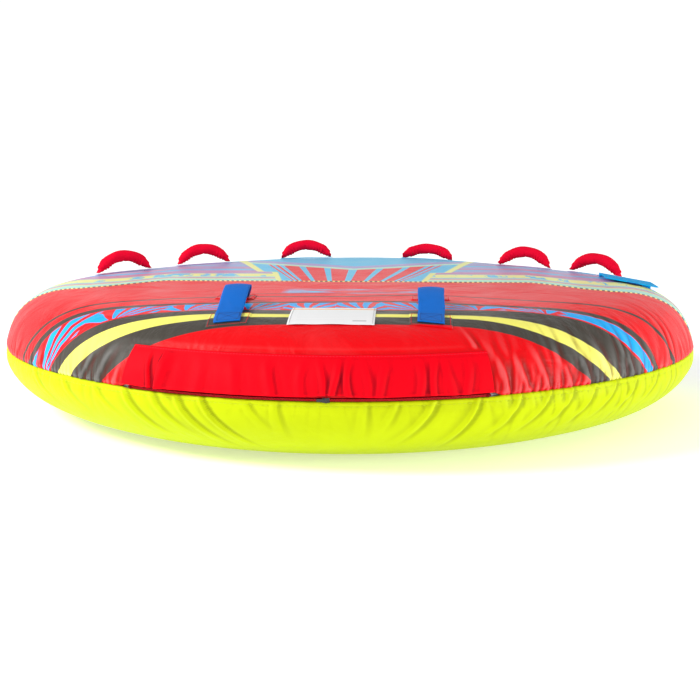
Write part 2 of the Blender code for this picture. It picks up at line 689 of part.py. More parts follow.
def cup_mesh(name, outline, paint, matrix, sides=20):
    # A turned outline whose first and last stretches end on the axis.
    points = []
    faces = []
    on_axis = [k for k, (r, _) in enumerate(outline) if r == 0.0]
    rim = [k for k in range(len(outline)) if k not in on_axis]
    for k in range(sides):
        angle = math.tau * k / sides
        points += [(outline[j][0] * math.cos(angle), outline[j][0] * math.sin(angle), outline[j][1]) for j in rim]
    top = len(points)
    points += [(0.0, 0.0, outline[j][1]) for j in on_axis]
    count = len(rim)
    for i in range(sides):
        near, far = i * count, ((i + 1) % sides) * count
        for a, b in ((0, 1), (1, 2), (3, 0)):
            faces.append([near + a, near + b, far + b, far + a])
        faces.append([near + 2, top, far + 2])
        faces.append([near + 3, far + 3, top + 1])
    return add_mesh(name, points, faces, paint, matrix)


def flap_height(x):
    slope = (FLAP_RIGHT_Z - FLAP_LEFT_Z) / (FLAP_RIGHT_X - FLAP_LEFT_X)
    return FLAP_LEFT_Z + slope * (x - FLAP_LEFT_X)


def make_valve_flap():
    # A stiffened flat flap, sewn to the deck along its far edge.
    sky = material("valve_flap_sky", "sky", 0.5)
    blue = material("valve_flap_tab", "deep_blue", 0.7)
    x = np.linspace(FLAP_LEFT_X, FLAP_RIGHT_X, 7)
    y = np.linspace(FLAP_NEAR_Y, FLAP_FAR_Y, 5)
    px, py = np.meshgrid(x, y)
    top = np.stack([px, py, flap_height(px) + VALVE_FLAP_T], axis=-1)
    low = np.stack([px, py, flap_height(px)], axis=-1)
    sheet("valve_flap", top, low, sky)
    middle = (FLAP_LEFT_X + FLAP_RIGHT_X) / 2
    px, py = np.meshgrid((middle - 0.014, middle + 0.014), (FLAP_NEAR_Y - 0.010, FLAP_NEAR_Y - GAP))
    tab_top = np.stack([px, py, flap_height(px) + VALVE_FLAP_T], axis=-1)
    tab_low = np.stack([px, py, flap_height(px)], axis=-1)
    sheet("valve_flap_tab", tab_top, tab_low, blue)
    make_hem(sky)


def make_hem(sky):
    # A wedge of folded cover cloth that fills the space under the flap's sewn edge.
    x = np.linspace(FLAP_LEFT_X, FLAP_RIGHT_X, 7)
    y = np.linspace(FLAP_FAR_Y + HEM_GAP, FLAP_FAR_Y + HEM_GAP + HEM_WIDTH, 3)
    px, py = np.meshgrid(x, y)
    low = deck_point(px, py, np.full_like(px, GAP + 0.0005))
    fall = (py - y[0]) / (y[-1] - y[0])
    level = flap_height(px) + VALVE_FLAP_T
    top = np.stack([px, py, level * (1.0 - fall) + (low[..., 2] + 0.0012) * fall], axis=-1)
    sheet("valve_flap_hem", top, low, sky)


# Tow point ----------------------------------------------------------------------------

def make_tow_point():
    black = material("tow_webbing", "black", 0.8)
    steel = material("tow_steel", "steel", 0.25, 1.0)
    outer = EYE_BORE + EYE_WALL
    shape = []
    for k in range(19):
        angle = math.radians(160.0 - 320.0 * k / 18)
        shape.append((TOW_EYE_Y + outer * math.cos(angle), TOW_EYE_Z + outer * math.sin(angle)))
    nose = float(outline_radius(np.array(180.0)))
    shape += [(nose + 0.0014, shape[-1][1]), (nose + 0.0014, shape[0][1])]
    rings = [[(side * TOW_WIDTH / 2, y, z) for y, z in shape] for side in (-1, 1)]
    strap = tube_mesh("tow_webbing", rings, black)
    cross = Matrix.Translation((0.0, TOW_EYE_Y, TOW_EYE_Z)) @ Matrix.Rotation(math.pi / 2, 4, "Y")
    bore = turned_rod("bore", EYE_BORE, -TOW_WIDTH, TOW_WIDTH, black, cross, 24)
    combine(strap, [bore], "DIFFERENCE")
    make_ring(steel)


def make_ring(steel):
    # A D ring hanging from the eye: a straight bar, two sides and a flat foot.
    corner = 0.014
    path = [(-RING_HALF, 0.0), (RING_HALF, 0.0)]
    path += arc_points(RING_HALF - corner, -RING_DROP + corner, corner, 0.0, -90.0, 4)
    path += arc_points(-RING_HALF + corner, -RING_DROP + corner, corner, -90.0, -180.0, 4)
    centre = Vector((0.0, TOW_EYE_Y, TOW_EYE_Z))
    count = len(path)
    points = []
    for k in range(count):
        here = Vector((path[k][0], 0.0, path[k][1]))
        before = Vector((path[k - 1][0], 0.0, path[k - 1][1]))
        after = Vector((path[(k + 1) % count][0], 0.0, path[(k + 1) % count][1]))
        first, second = (here - before).normalized(), (after - here).normalized()
        side = Vector((0.0, 1.0, 0.0))
        over = (first + second).normalized().cross(side)
        stretch = 1.0 / max(0.5, over.dot(first.cross(side)))
        for m in range(8):
            angle = math.tau * (m + 0.5) / 8
            rim = RING_ROD / math.cos(math.pi / 8)
            points.append(centre + here + rim * (math.cos(angle) * side + math.sin(angle) * stretch * over))
    add_mesh("tow_ring", points, strip_faces_closed(count, 8), steel)


def arc_points(x, z, radius, start, end, steps):
    angles = [math.radians(start + (end - start) * k / steps) for k in range(steps + 1)]
    return [(x + radius * math.cos(a), z + radius * math.sin(a)) for a in angles]


def main():
    clear_scene()
    make_cover()
    make_bladder()
    make_zipper()
    make_zipper_flap()
    make_handles()
    make_straps()
    make_label()
    make_valve(bpy.data.objects["cover_front_top_panel"], bpy.data.objects["bladder_top_sheet"])
    make_valve_flap()
    make_tow_point()


main()
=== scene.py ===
import math

import bpy
import numpy as np
from mathutils import Matrix, Vector


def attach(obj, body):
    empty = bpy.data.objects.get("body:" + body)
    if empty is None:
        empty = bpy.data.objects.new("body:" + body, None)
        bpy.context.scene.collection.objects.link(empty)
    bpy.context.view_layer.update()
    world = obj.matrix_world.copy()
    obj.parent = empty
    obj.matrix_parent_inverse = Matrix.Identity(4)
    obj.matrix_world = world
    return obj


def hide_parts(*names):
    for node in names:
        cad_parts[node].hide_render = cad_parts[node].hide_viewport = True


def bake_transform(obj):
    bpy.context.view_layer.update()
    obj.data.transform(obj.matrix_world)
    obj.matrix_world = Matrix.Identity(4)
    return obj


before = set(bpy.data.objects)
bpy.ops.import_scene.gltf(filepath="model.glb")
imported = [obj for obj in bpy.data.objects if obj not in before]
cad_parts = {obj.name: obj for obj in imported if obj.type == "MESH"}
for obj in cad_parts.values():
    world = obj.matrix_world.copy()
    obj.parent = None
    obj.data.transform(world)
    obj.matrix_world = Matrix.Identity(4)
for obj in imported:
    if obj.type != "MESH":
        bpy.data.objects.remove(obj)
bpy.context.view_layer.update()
bpy.context.scene.view_settings.view_transform = "Standard"
print("frame loaded")

# the tube's form: outline radius by bearing, section height by share of that radius
tube = {"rearRadius": 0.756, "waistGain": 0.044, "shoulderDrop": 0.092, "noseGain": 0.034,
        "deckZ": 0.2825, "equatorZ": 0.121, "seamZ": 0.1445,
        "upperPower": 11.0, "upperRoot": 2.12, "lowerPower": 4.3, "lowerRoot": 1.5, "flatBase": 0.5}
deckSeam = {"x": (0.0, 0.425, 0.47, 0.53, 0.59, 0.65, 0.74, 0.83),
            "y": (-0.068, -0.068, -0.11, -0.168, -0.185, -0.16, -0.145, -0.15)}
arcPerDegree = 0.756 * math.pi / 180


def ease(value):
    # smoothstep: three squares less two cubes, held between 0 and 1
    part = np.clip(value, 0.0, 1.0)
    return part * part * (3.0 - 2.0 * part)


def bell(value, width):
    # e to the minus square of value over width
    return np.exp(-(value / width) ** 2)


def stacked(*parts):
    # coordinates side by side, as the last axis
    return np.stack(np.broadcast_arrays(*parts), axis=-1)


def unit(vectors, least=1e-12):
    return vectors / np.maximum(np.linalg.norm(vectors, axis=-1, keepdims=True), least)


def circle(sides):
    return np.linspace(0.0, 2 * np.pi, sides, endpoint=False)


def runLength(path):
    # length walked along a path up to each of its points
    return np.concatenate([[0.0], np.cumsum(np.linalg.norm(np.diff(path, axis=0), axis=1))])


def outlineRadius(bearing):
    # rear radius, plus a rise to the waist, less a fall to the shoulder, plus a rise to the nose
    side = np.abs(bearing)
    radius = tube["rearRadius"] + tube["waistGain"] * ease((side - 35.0) / 55.0)
    radius = radius - tube["shoulderDrop"] * ease((side - 90.0) / 45.0)
    return radius + tube["noseGain"] * ease((side - 135.0) / 45.0)


def upperHeight(part):
    # a superellipse of powers 11 and 2.12 from the equator up to the deck
    bulge = (1.0 - np.clip(part, 0.0, 1.0) ** tube["upperPower"]) ** (1.0 / tube["upperRoot"])
    return tube["equatorZ"] + (tube["deckZ"] - tube["equatorZ"]) * bulge


def lowerHeight(part):
    # flat out to half the radius, then a superellipse quarter up to the equator
    rise = np.clip((part - tube["flatBase"]) / (1.0 - tube["flatBase"]), 0.0, 1.0) ** tube["lowerPower"]
    return tube["equatorZ"] * (1.0 - (1.0 - rise) ** (1.0 / tube["lowerRoot"]))


def partAtHeight(height):
    bulge = (height - tube["equatorZ"]) / (tube["deckZ"] - tube["equatorZ"])
    return (1.0 - np.clip(bulge, 0.0, 1.0) ** tube["upperRoot"]) ** (1.0 / tube["upperPower"])


def sectionTable(part, height):
    # running length of the section line, as shares of the whole
    step = np.hypot(np.diff(part) * tube["rearRadius"], np.diff(height))
    length = np.concatenate([[0.0], np.cumsum(step)])
    return {"length": length / length[-1], "part": part, "height": height, "total": length[-1]}


rimPart = partAtHeight(tube["seamZ"])
topParts = rimPart * (1.0 - np.linspace(1.0, 0.0, 900) ** 2.2)
topSection = sectionTable(topParts, upperHeight(topParts))
underParts = 1.0 - np.linspace(1.0, 0.0, 900) ** 2.2
wallParts = np.linspace(1.0, rimPart, 40)[1:]
baseSection = sectionTable(np.concatenate([underParts, wallParts]),
                           np.concatenate([lowerHeight(underParts), upperHeight(wallParts)]))


def coverPoint(section, length, bearing, lift=0.0):
    # the cover at a share of the section's length and a bearing, raised along the surface's normal
    def at(place, key):
        return np.interp(place, section["length"], section[key])

    step = 1e-3
    radius = outlineRadius(bearing)
    turn = (outlineRadius(bearing + 0.5) - outlineRadius(bearing - 0.5)) / math.radians(1.0)
    across, back = np.sin(np.radians(bearing)), -np.cos(np.radians(bearing))
    part = at(length, "part") * radius
    partStep = (at(length + step, "part") - at(length - step, "part")) * radius
    riseStep = at(length + step, "height") - at(length - step, "height")
    along = stacked(turn * across - radius * back, turn * back + radius * across, 0.0)
    normal = unit(np.cross(stacked(partStep * across, partStep * back, riseStep), along))
    if section is baseSection:
        normal = -normal
    return stacked(part * across, part * back, at(length, "height")) + np.asarray(lift)[..., None] * normal


def deckPoint(x, y, lift=0.0):
    # the top surface over (x, y), raised along its normal
    bearing = np.degrees(np.arctan2(x, -np.asarray(y)))
    part = np.hypot(x, y) / outlineRadius(bearing)
    length = np.interp(part, topSection["part"], topSection["length"])
    return coverPoint(topSection, length, bearing, lift * np.ones_like(length))


def squareToDisc(across, along):
    # squares about the centre become rings: the larger of the two is the ring, the ratio is the bearing
    ring = np.maximum(np.abs(across), np.abs(along))
    safe = np.where(ring < 1e-9, 1.0, ring)
    rearFront = np.where(along < 0, 45.0 * across / safe, 180.0 - 45.0 * across / safe)
    rightLeft = np.sign(across) * (90.0 + 45.0 * along / safe)
    bearing = np.where(np.abs(along) >= np.abs(across), rearFront, rightLeft)
    return ring, np.where(bearing > 180.0, bearing - 360.0, bearing)


def seamLine(x):
    return np.interp(np.abs(x), deckSeam["x"], deckSeam["y"])


def throughMatrix(points, matrix):
    grid = np.array(matrix)
    return points @ grid[:3, :3].T + grid[:3, 3]


# meshes
def newPiece(name, points, faces, finish, uv=None, fields=None):
    mesh = bpy.data.meshes.new(name)
    points = np.ascontiguousarray(points, dtype=np.float32).reshape(-1, 3)
    mesh.from_pydata(points.tolist(), [], [list(face) for face in faces])
    for key, values in (fields or {}).items():
        layer = mesh.attributes.new(key, "FLOAT", "POINT")
        layer.data.foreach_set("value", np.ascontiguousarray(values, dtype=np.float32).ravel())
    if uv is not None:
        corner = np.empty(len(mesh.loops), dtype=np.int32)
        mesh.loops.foreach_get("vertex_index", corner)
        layer = mesh.uv_layers.new(name="cloth")
        flat = np.ascontiguousarray(uv, dtype=np.float32).reshape(-1, 2)[corner]
        layer.data.foreach_set("uv", flat.ravel())
    mesh.polygons.foreach_set("use_smooth", np.ones(len(mesh.polygons), dtype=bool))
    mesh.materials.append(finish)
    mesh.update()
    piece = bpy.data.objects.new(name, mesh)
    bpy.context.scene.collection.objects.link(piece)
    return piece


def gridFaces(rows, columns, start=0, wrap=False, flip=False):
    # quads over a grid of numbered points; wrap joins the last column to the first
    number = start + np.arange(rows * columns).reshape(rows, columns)
    after = np.roll(number, -1, axis=1) if wrap else number[:, 1:]
    here = number if wrap else number[:, :-1]
    quads = np.stack([here[:-1], after[:-1], after[1:], here[1:]], axis=-1).reshape(-1, 4)
    return quads[:, ::-1] if flip else quads


def settle(piece, body, node=None):
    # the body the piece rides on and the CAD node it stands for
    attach(piece, body)
    if node:
        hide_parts(node)
    return piece


def shellPiece(name, outer, inner, finish, uv=None, fields=None, flip=False):
    # a closed thin shell: outer grid, inner grid, and a rim between their edges
    rows, columns = outer.shape[:2]
    count = rows * columns
    number = np.arange(count).reshape(rows, columns)
    rim = np.concatenate([number[0], number[1:, -1], number[-1, -2::-1], number[-2:0:-1, 0]])
    nextRim = np.roll(rim, -1)
    side = np.stack([nextRim, rim, rim + count, nextRim + count], axis=-1)
    faces = np.concatenate([gridFaces(rows, columns), gridFaces(rows, columns, count, flip=True), side])
    if flip:
        faces = faces[:, ::-1]
    points = np.concatenate([outer.reshape(-1, 3), inner.reshape(-1, 3)])
    uvAll = None if uv is None else np.concatenate([uv.reshape(-1, 2)] * 2)
    both = {key: np.concatenate([value.ravel()] * 2) for key, value in (fields or {}).items()}
    return newPiece(name, points, faces.tolist(), finish, uvAll, both)


def tubePiece(name, rings, finish, uv=None, closed=False):
    # rings of points joined along a path, with end caps unless the path closes on itself
    count, sides = rings.shape[:2]
    faces = gridFaces(count, sides, wrap=True).tolist()
    if closed:
        last = (count - 1) * sides + np.arange(sides)
        first = np.arange(sides)
        faces += np.stack([last, np.roll(last, -1), np.roll(first, -1), first], axis=-1).tolist()
    else:
        faces.append(list(range(sides))[::-1])
        faces.append(list(range((count - 1) * sides, count * sides)))
    return newPiece(name, rings.reshape(-1, 3), faces, finish, uv)


def carriedLoop(path, across, radius, sides):
    # a round section carried round a closed path; across is a fixed side direction
    ends = np.concatenate([path[-1:], path, path[:1]])
    ahead = unit(np.gradient(ends, axis=0)[1:-1])
    up = unit(np.cross(ahead, across))[:, None]
    side = np.cross(up, ahead[:, None])
    angle = circle(sides)[None, :, None]
    return path[:, None] + radius * (np.cos(angle) * side + np.sin(angle) * up)


def stitchPiece(name, places, ahead, up, finish, length=0.005, width=0.0009, sides=6):
    # one small spindle of thread at each place: a six-sided bead, pinched at both ends
    ahead = unit(ahead)
    side = unit(np.cross(up, ahead))
    up = np.cross(ahead, side)
    shares = np.array((-0.5, -0.32, 0.0, 0.32, 0.5))[:, None, None, None]
    sizes = np.array((0.35, 0.85, 1.0, 0.85, 0.35))[:, None, None, None] * width
    angle = circle(sides)[:, None, None]
    bead = shares * length * ahead + sizes * (np.cos(angle) * side + 0.6 * np.sin(angle) * up)
    points = np.moveaxis(bead + places, 2, 0).reshape(len(places), -1, 3)
    offset = np.arange(len(places))[:, None] * points.shape[1]
    faces = (gridFaces(5, sides, wrap=True)[None] + offset[..., None]).reshape(-1, 4).tolist()
    for cap in (np.arange(sides)[::-1], np.arange(4 * sides, 5 * sides)):
        faces += (cap + offset).tolist()
    return newPiece(name, points.reshape(-1, 3), faces, finish)


def alongPath(path, pitch):
    # points a pitch apart along a path, with the direction there
    def at(stops):
        return stacked(*(np.interp(stops, run, path[:, k]) for k in range(3)))

    run = runLength(path)
    stops = np.arange(pitch / 2, run[-1], pitch)
    return at(stops), at(stops + 1e-4) - at(stops - 1e-4)


# materials
paint = {"red": (0.88, 0.003, 0.008), "archRed": (0.8, 0.0, 0.004), "flapRed": (0.86, 0.0, 0.009),
         # the dark red on the next line is a painted shade for the cloth's creases
         "crimson": (0.8, 0.0, 0.026), "deepRed": (0.16, 0.0, 0.006), "paintedCreaseShade": (0.1, 0.012, 0.006),
         "ink": (0.062, 0.055, 0.045), "gold": (0.95, 0.9, 0.16), "leaf": (0.0, 0.42, 0.95),
         "lime": (0.6, 0.72, 0.0), "lowLime": (0.56, 0.68, 0.0), "limeShade": (0.25, 0.3, 0.0),
         "royal": (0.0, 0.17, 0.7), "sky": (0.1, 0.56, 0.86), "flapBlue": (0.006, 0.4, 0.82),
         "navy": (0.004, 0.05, 0.24), "lilac": (0.42, 0.36, 0.66), "pink": (0.7, 0.22, 0.36),
         "mint": (0.42, 0.8, 0.7), "cream": (0.88, 0.88, 0.3), "orange": (0.95, 0.42, 0.06),
         "white": (0.88, 0.88, 0.88), "black": (0.012, 0.012, 0.014), "vinyl": (0.42, 0.45, 0.48),
         "steel": (0.62, 0.63, 0.65), "binding": (0.16, 0.2, 0.16), "ruleGrey": (0.35, 0.36, 0.38),
         # the pale pink on the next line is partly scuffs and partly a painted sheen
         "boxGrey": (0.3, 0.3, 0.32), "scuffAndSheen": (1.0, 0.72, 0.72), "wear": (0.5, 0.5, 0.5),
         "shadow": (0.0, 0.0, 0.0), "light": (1.0, 1.0, 1.0), "floor": (0.96, 0.96, 0.96),
         "floorMark": (0.9, 0.9, 0.9)}
bench = {"tree": None}  # the node tree that the helpers below add to


def startFinish(name):
    finish = bpy.data.materials.new(name)
    finish.use_nodes = True
    bench["tree"] = finish.node_tree
    return finish, bench["tree"].nodes["Principled BSDF"]


def feed(value, socket):
    # links a socket, looks up a paint by its name, or sets a plain value
    if isinstance(value, bpy.types.NodeSocket):
        bench["tree"].links.new(value, socket)
    else:
        socket.default_value = (*paint[value], 1.0) if isinstance(value, str) else value


def fill(node, values):
    for key, value in values.items():
        feed(value, node.inputs[key])


def newNode(kind, *values, **settings):
    # a node with its settings made, and its first sockets fed in their order
    node = bench["tree"].nodes.new(kind)
    for key, value in settings.items():
        setattr(node, key, value)
    for socket, value in zip(node.inputs, values):
        feed(value, socket)
    return node


def maths(operation, *values, clamp=False):
    return newNode("ShaderNodeMath", *values, operation=operation, use_clamp=clamp).outputs[0]


def times(first, second, clamp=False):
    return maths("MULTIPLY", first, second, clamp=clamp)


def opposite(value):
    return maths("SUBTRACT", 1.0, value)


def wave(value, pitch):
    # sine of two pi times value over pitch
    return maths("SINE", times(value, 2 * math.pi / pitch))


def field(name):
    return newNode("ShaderNodeAttribute", attribute_name=name).outputs["Fac"]


def mixColour(factor, first, second, how="MIX"):
    node = newNode("ShaderNodeMix", factor, data_type="RGBA", blend_type=how)
    feed(first, node.inputs[6])
    feed(second, node.inputs[7])
    return node.outputs[2]


def layered(colour, *layers):
    # each layer is a mask and a colour, laid over what is there
    for mask, tint in layers:
        colour = mixColour(mask, colour, tint)
    return colour


def over(value, limit, soft=0.0008):
    # 0 below the limit and 1 above it, with a soft edge about as wide as a yarn
    return newNode("ShaderNodeMapRange", value, limit - soft, limit + soft).outputs[0]


def inBand(value, low, high, soft=0.0008):
    return times(over(value, low, soft), opposite(over(value, high, soft)))


def noise(vector, scale, detail=3.0, rough=0.5, distortion=0.0):
    node = newNode("ShaderNodeTexNoise", vector)
    fill(node, {"Scale": scale, "Detail": detail, "Roughness": rough, "Distortion": distortion})
    return node.outputs[0]


def placed(source="Object", scale=(1, 1, 1), turn=(0, 0, 0)):
    place = newNode("ShaderNodeTexCoord").outputs[source]
    return newNode("ShaderNodeMapping", place, (0, 0, 0), turn, scale).outputs[0]


def apart(vector):
    return newNode("ShaderNodeSeparateXYZ", vector).outputs


def weave(source, pitch):
    # plain weave: the two sets of yarns as sines of the two directions, each over the other by turns
    parts = apart(placed(source, (2 * math.pi / pitch,) * 3))
    return maths("MULTIPLY_ADD", times(maths("SINE", parts[0]), maths("SINE", parts[1])), 0.5, 0.5)


def bump(shader, *layers):
    # heights, each with its strength and its depth in metres, laid one over the other
    last = None
    for height, strength, distance in layers:
        node = newNode("ShaderNodeBump")
        fill(node, {"Strength": strength, "Distance": distance, "Height": height})
        if last is not None:
            feed(last, node.inputs["Normal"])
        last = node.outputs[0]
    feed(last, shader.inputs["Normal"])


def shaded(colour, vector, amount=0.18, scale=7.0, light=0.1):
    # uneven dye in darker clouds, and paler clouds that are partly scuff marks and partly painted sheen
    dark = maths("MULTIPLY_ADD", noise(vector, scale, 5.0, 0.6), -amount, amount * 0.5, clamp=True)
    cloud = maths("MULTIPLY_ADD", noise(vector, scale * 0.6, 6.0, 0.65, 0.6), 4.0, -2.1, clamp=True)
    # the pale pink clouds: partly scuffs, partly a painted sheen
    return layered(colour, (dark, "shadow"), (times(cloud, light), "scuffAndSheen"))


coatedCloth = {"roughness": 0.36, "yarn": 0.0016, "specular": 0.16}


def coatedFinish(shader, colour, spec, scuffSheen=0.1, creases=0.5):
    # printed, coated polyester: fine plain weave, soft creases, a slight gloss, painted shade in the creases
    # and a painted highlight on the ridges
    vector = placed()
    creaseShading = field("creaseShading")
    # painted shade: a dark red laid into the cloth's hollows, and white laid lightly on its ridges as a
    # painted highlight
    colour = layered(colour, (times(creaseShading, 0.62, True), "paintedCreaseShade"), (times(creaseShading, -0.1, True), "white"))
    rough = maths("MULTIPLY_ADD", noise(vector, 14.0, 4.0), 0.22, spec["roughness"] - 0.11)
    fill(shader, {"Base Color": shaded(colour, vector, light=scuffSheen), "Roughness": rough,
                  "Specular IOR Level": spec["specular"]})
    soft = noise(placed("Object", (9, 9, 5), (0.3, 0.2, 0.5)), 1.0, 4.0, 0.55, 0.8)
    bump(shader, (soft, creases, 0.01), (noise(vector, 60.0, 3.0, 0.6, 0.4), 0.25, 0.0015),
         (weave("UV", spec["yarn"]), 0.3, 0.0003))


def rearPrint():
    # the rear panel: dark lines, a leaf band and a dark and yellow border round a red arch
    finish, shader = startFinish("rearPrint")
    line1, line2, along, leafEdge = field("line1"), field("line2"), field("along"), field("leafEdge")
    thin = times(inBand(line1, -0.062, -0.057), inBand(along, -0.5, 0.42, 0.01))
    colour = layered("red", (inBand(line1, -0.0055, 0.0055), "ink"), (thin, "ink"),
                     (inBand(line2, -0.0095, 0.0095), "ink"), (leafMask(along, line2, leafEdge), "leaf"),
                     (over(leafEdge, 0.0), "ink"), (over(field("goldOuter"), 0.0), "gold"),
                     (over(field("goldInner"), 0.0), "ink"), (over(field("arch"), 0.0), "archRed"))
    coatedFinish(shader, swishes(colour), coatedCloth, scuffSheen=0.03, creases=0.9)
    return finish


leafBand = {"plant": 0.15, "strokes": 13.0, "wobble": 9.0, "inset": 0.012, "edge": 0.006}


def leafMask(along, line2, leafEdge):
    # palm leaves side by side: strokes fan out from each leaf's root, by the sine of the angle there
    local = maths("SUBTRACT", maths("FRACT", maths("DIVIDE", along, leafBand["plant"])), 0.5)
    wobble = noise(placed(), 9.0, 2.0)
    height = maths("MULTIPLY_ADD", wobble, 0.02, maths("SUBTRACT", -0.004, leafEdge))
    angle = maths("ARCTAN2", height, times(local, leafBand["plant"]))
    fan = maths("MULTIPLY_ADD", wobble, leafBand["wobble"], times(angle, leafBand["strokes"]))
    cluster = over(noise(placed(), 5.0, 1.0), 0.33, 0.03)
    solid = over(field("solidLeaf"), 0.5, 0.05)
    blade = maths("MAXIMUM", times(over(maths("SINE", fan), -0.12, 0.12), cluster), solid)
    inside = times(over(line2, leafBand["inset"]), opposite(over(leafEdge, -leafBand["edge"])))
    return times(blade, inside)


def swishes(colour):
    # a few pale streaks on the deck part, between the boarding straps
    parts = apart(placed())
    streak = noise(placed("Object", (11, 75, 1), (0, 0, 0.06)), 1.0, 4.0, 0.6)
    here = times(inBand(parts[0], -0.125, 0.165, 0.01), inBand(parts[1], -0.292, -0.215, 0.006))
    mask = times(times(here, over(parts[2], 0.2, 0.02)), over(streak, 0.53, 0.03))
    return mixColour(mask, colour, mixColour(over(streak, 0.6, 0.02), "lilac", "sky"))


deckStripes = ((0.0, "mint"), (0.04, "cream"), (0.047, "mint"), (0.054, "pink"), (0.064, "cream"),
               (0.068, "lilac"), (0.082, "mint"), (0.092, "cream"), (0.16, "lilac"), (0.168, "pink"),
               (0.215, "lilac"), (0.232, "sky"), (0.262, "lilac"), (0.275, "pink"), (0.3, "lilac"),
               (0.345, "sky"), (0.372, "lilac"), (0.425, "sky"), (0.53, "sky"), (0.6, "lilac"),
               (0.63, "sky"), (0.74, "mint"), (0.752, "sky"), (0.8, "lilac"), (0.83, "sky"))
keyBlocks = ((0.0, "sky"), (0.045, "red"), (0.24, "sky"), (0.31, "red"), (0.5, "sky"), (0.56, "red"),
             (0.7, "sky"), (0.75, "red"), (0.78, "sky"), (0.82, "red"), (0.84, "sky"))


def ramp(value, stops):
    # colour by value, in bands with hard edges
    node = newNode("ShaderNodeValToRGB", value)
    node.color_ramp.interpolation = "CONSTANT"
    line = node.color_ramp.elements
    for k, (place, name) in enumerate(stops):
        mark = line[k] if k < 2 else line.new(place)
        mark.position = place
        mark.color = (*paint[name], 1.0)
    return node.outputs[0]


def deckPrint():
    # the front panel: stripes that follow the deck seam, and a keystone of red and blue blocks
    finish, shader = startFinish("deckPrint")
    forward, chevron = field("forward"), field("chevron")
    drift = maths("MULTIPLY_ADD", noise(placed("Object", (3, 30, 3)), 1.0, 3.0), 0.022,
                  maths("SUBTRACT", forward, 0.011))
    stripes = mixColour(over(forward, 0.088, 0.004), ramp(forward, deckStripes), ramp(drift, deckStripes))
    brush = times(over(noise(placed("Object", (26, 7, 3)), 1.0, 4.0, 0.7), 0.54, 0.02),
                  inBand(forward, 0.098, 0.155, 0.006))
    mist = noise(placed("Object", (4, 22, 3)), 1.0, 5.0, 0.65)
    veil = times(times(over(mist, 0.52, 0.06), over(forward, 0.17, 0.02)), 0.75)
    haze = times(times(over(mist, 0.6, 0.05), over(forward, 0.2, 0.02)), 0.5)
    blocks = layered(ramp(field("barAcross"), keyBlocks), (over(chevron, -0.004), "mint"),
                     (over(chevron, 0.012), "cream"), (over(chevron, 0.017), "mint"),
                     (over(chevron, 0.03), "lilac"), (over(chevron, 0.085, 0.004), "sky"))
    side = maths("ABSOLUTE", field("keyAcross"))
    colour = layered(stripes, (brush, "sky"), (veil, "lilac"), (haze, "pink"),
                     (opposite(over(side, 1.0, 0.004)), blocks), (inBand(side, 0.97, 1.045, 0.004), "cream"))
    coatedFinish(shader, colour, coatedCloth, scuffSheen=0.02, creases=0.45)
    return finish


def limePlain():
    # the coated weave of the panels in one dye, a little darker low down, with painted shade in its folds
    finish, shader = startFinish("limeBase")
    coatedFinish(shader, "lime", dict(coatedCloth, roughness=0.5, specular=0.12), scuffSheen=0.0)
    tone = mixColour(over(apart(placed())[2], 0.07, 0.07), "lowLime", "lime")
    # random darker patches, then painted shade in the folds
    tone = layered(tone, (times(noise(placed(), 30.0, 2.0), 0.1), "limeShade"),
                   (times(field("creaseShading"), 0.62, True), "limeShade"))
    feed(tone, shader.inputs["Base Color"])
    return finish


def plainCloth(name, colour, spec, scuffSheen=0.0, yarn=0.0016, source="UV", strength=0.4, wrinkle=0.3):
    # one dyed cloth: weave, small creases, uneven dye, and painted shade in its creases
    finish, shader = startFinish(name)
    vector = placed()
    # painted shade: deep red laid into the cloth's hollows
    tone = mixColour(times(field("creaseShading"), 0.8, True), shaded(colour, vector, 0.22, 12.0, scuffSheen), "deepRed")
    fill(shader, {"Base Color": tone, **spec})
    bump(shader, (noise(vector, 45.0, 4.0, 0.6, 0.8), wrinkle, 0.002),
         (weave(source, yarn), strength, 0.0003))
    return finish


def webbingFinish(name, colour, rib=0.0021):
    # ribbed webbing: rows across the strap, cut by the lines between its warp yarns
    finish, shader = startFinish(name)
    parts = apart(placed("UV"))
    height = maths("MULTIPLY_ADD", times(wave(parts[1], rib), wave(parts[0], rib * 1.7)), 0.5, 0.5)
    tone = mixColour(times(opposite(height), 0.3), shaded(colour, placed(), 0.35, 40.0, 0.01), "shadow")
    fill(shader, {"Base Color": tone, "Roughness": 0.62, "Specular IOR Level": 0.15, "Sheen Weight": 0.03})
    bump(shader, (height, 0.8, 0.0008))
    return finish


def hardFinish(name, colour, roughness, metallic=0.0, grain=0.0004, scale=120.0, coat=0.0):
    # moulded or cast parts: fine grain, and rub marks that change the gloss
    finish, shader = startFinish(name)
    vector = placed()
    worn = noise(vector, scale * 0.5, 4.0, 0.6)
    fill(shader, {"Base Color": mixColour(times(worn, 0.25), colour, "wear", "MULTIPLY"),
                  "Roughness": maths("MULTIPLY_ADD", worn, 0.25, roughness - 0.12),
                  "Metallic": metallic, "Coat Weight": coat})
    bump(shader, (noise(vector, scale * 8, 2.0), 0.3, grain))
    return finish


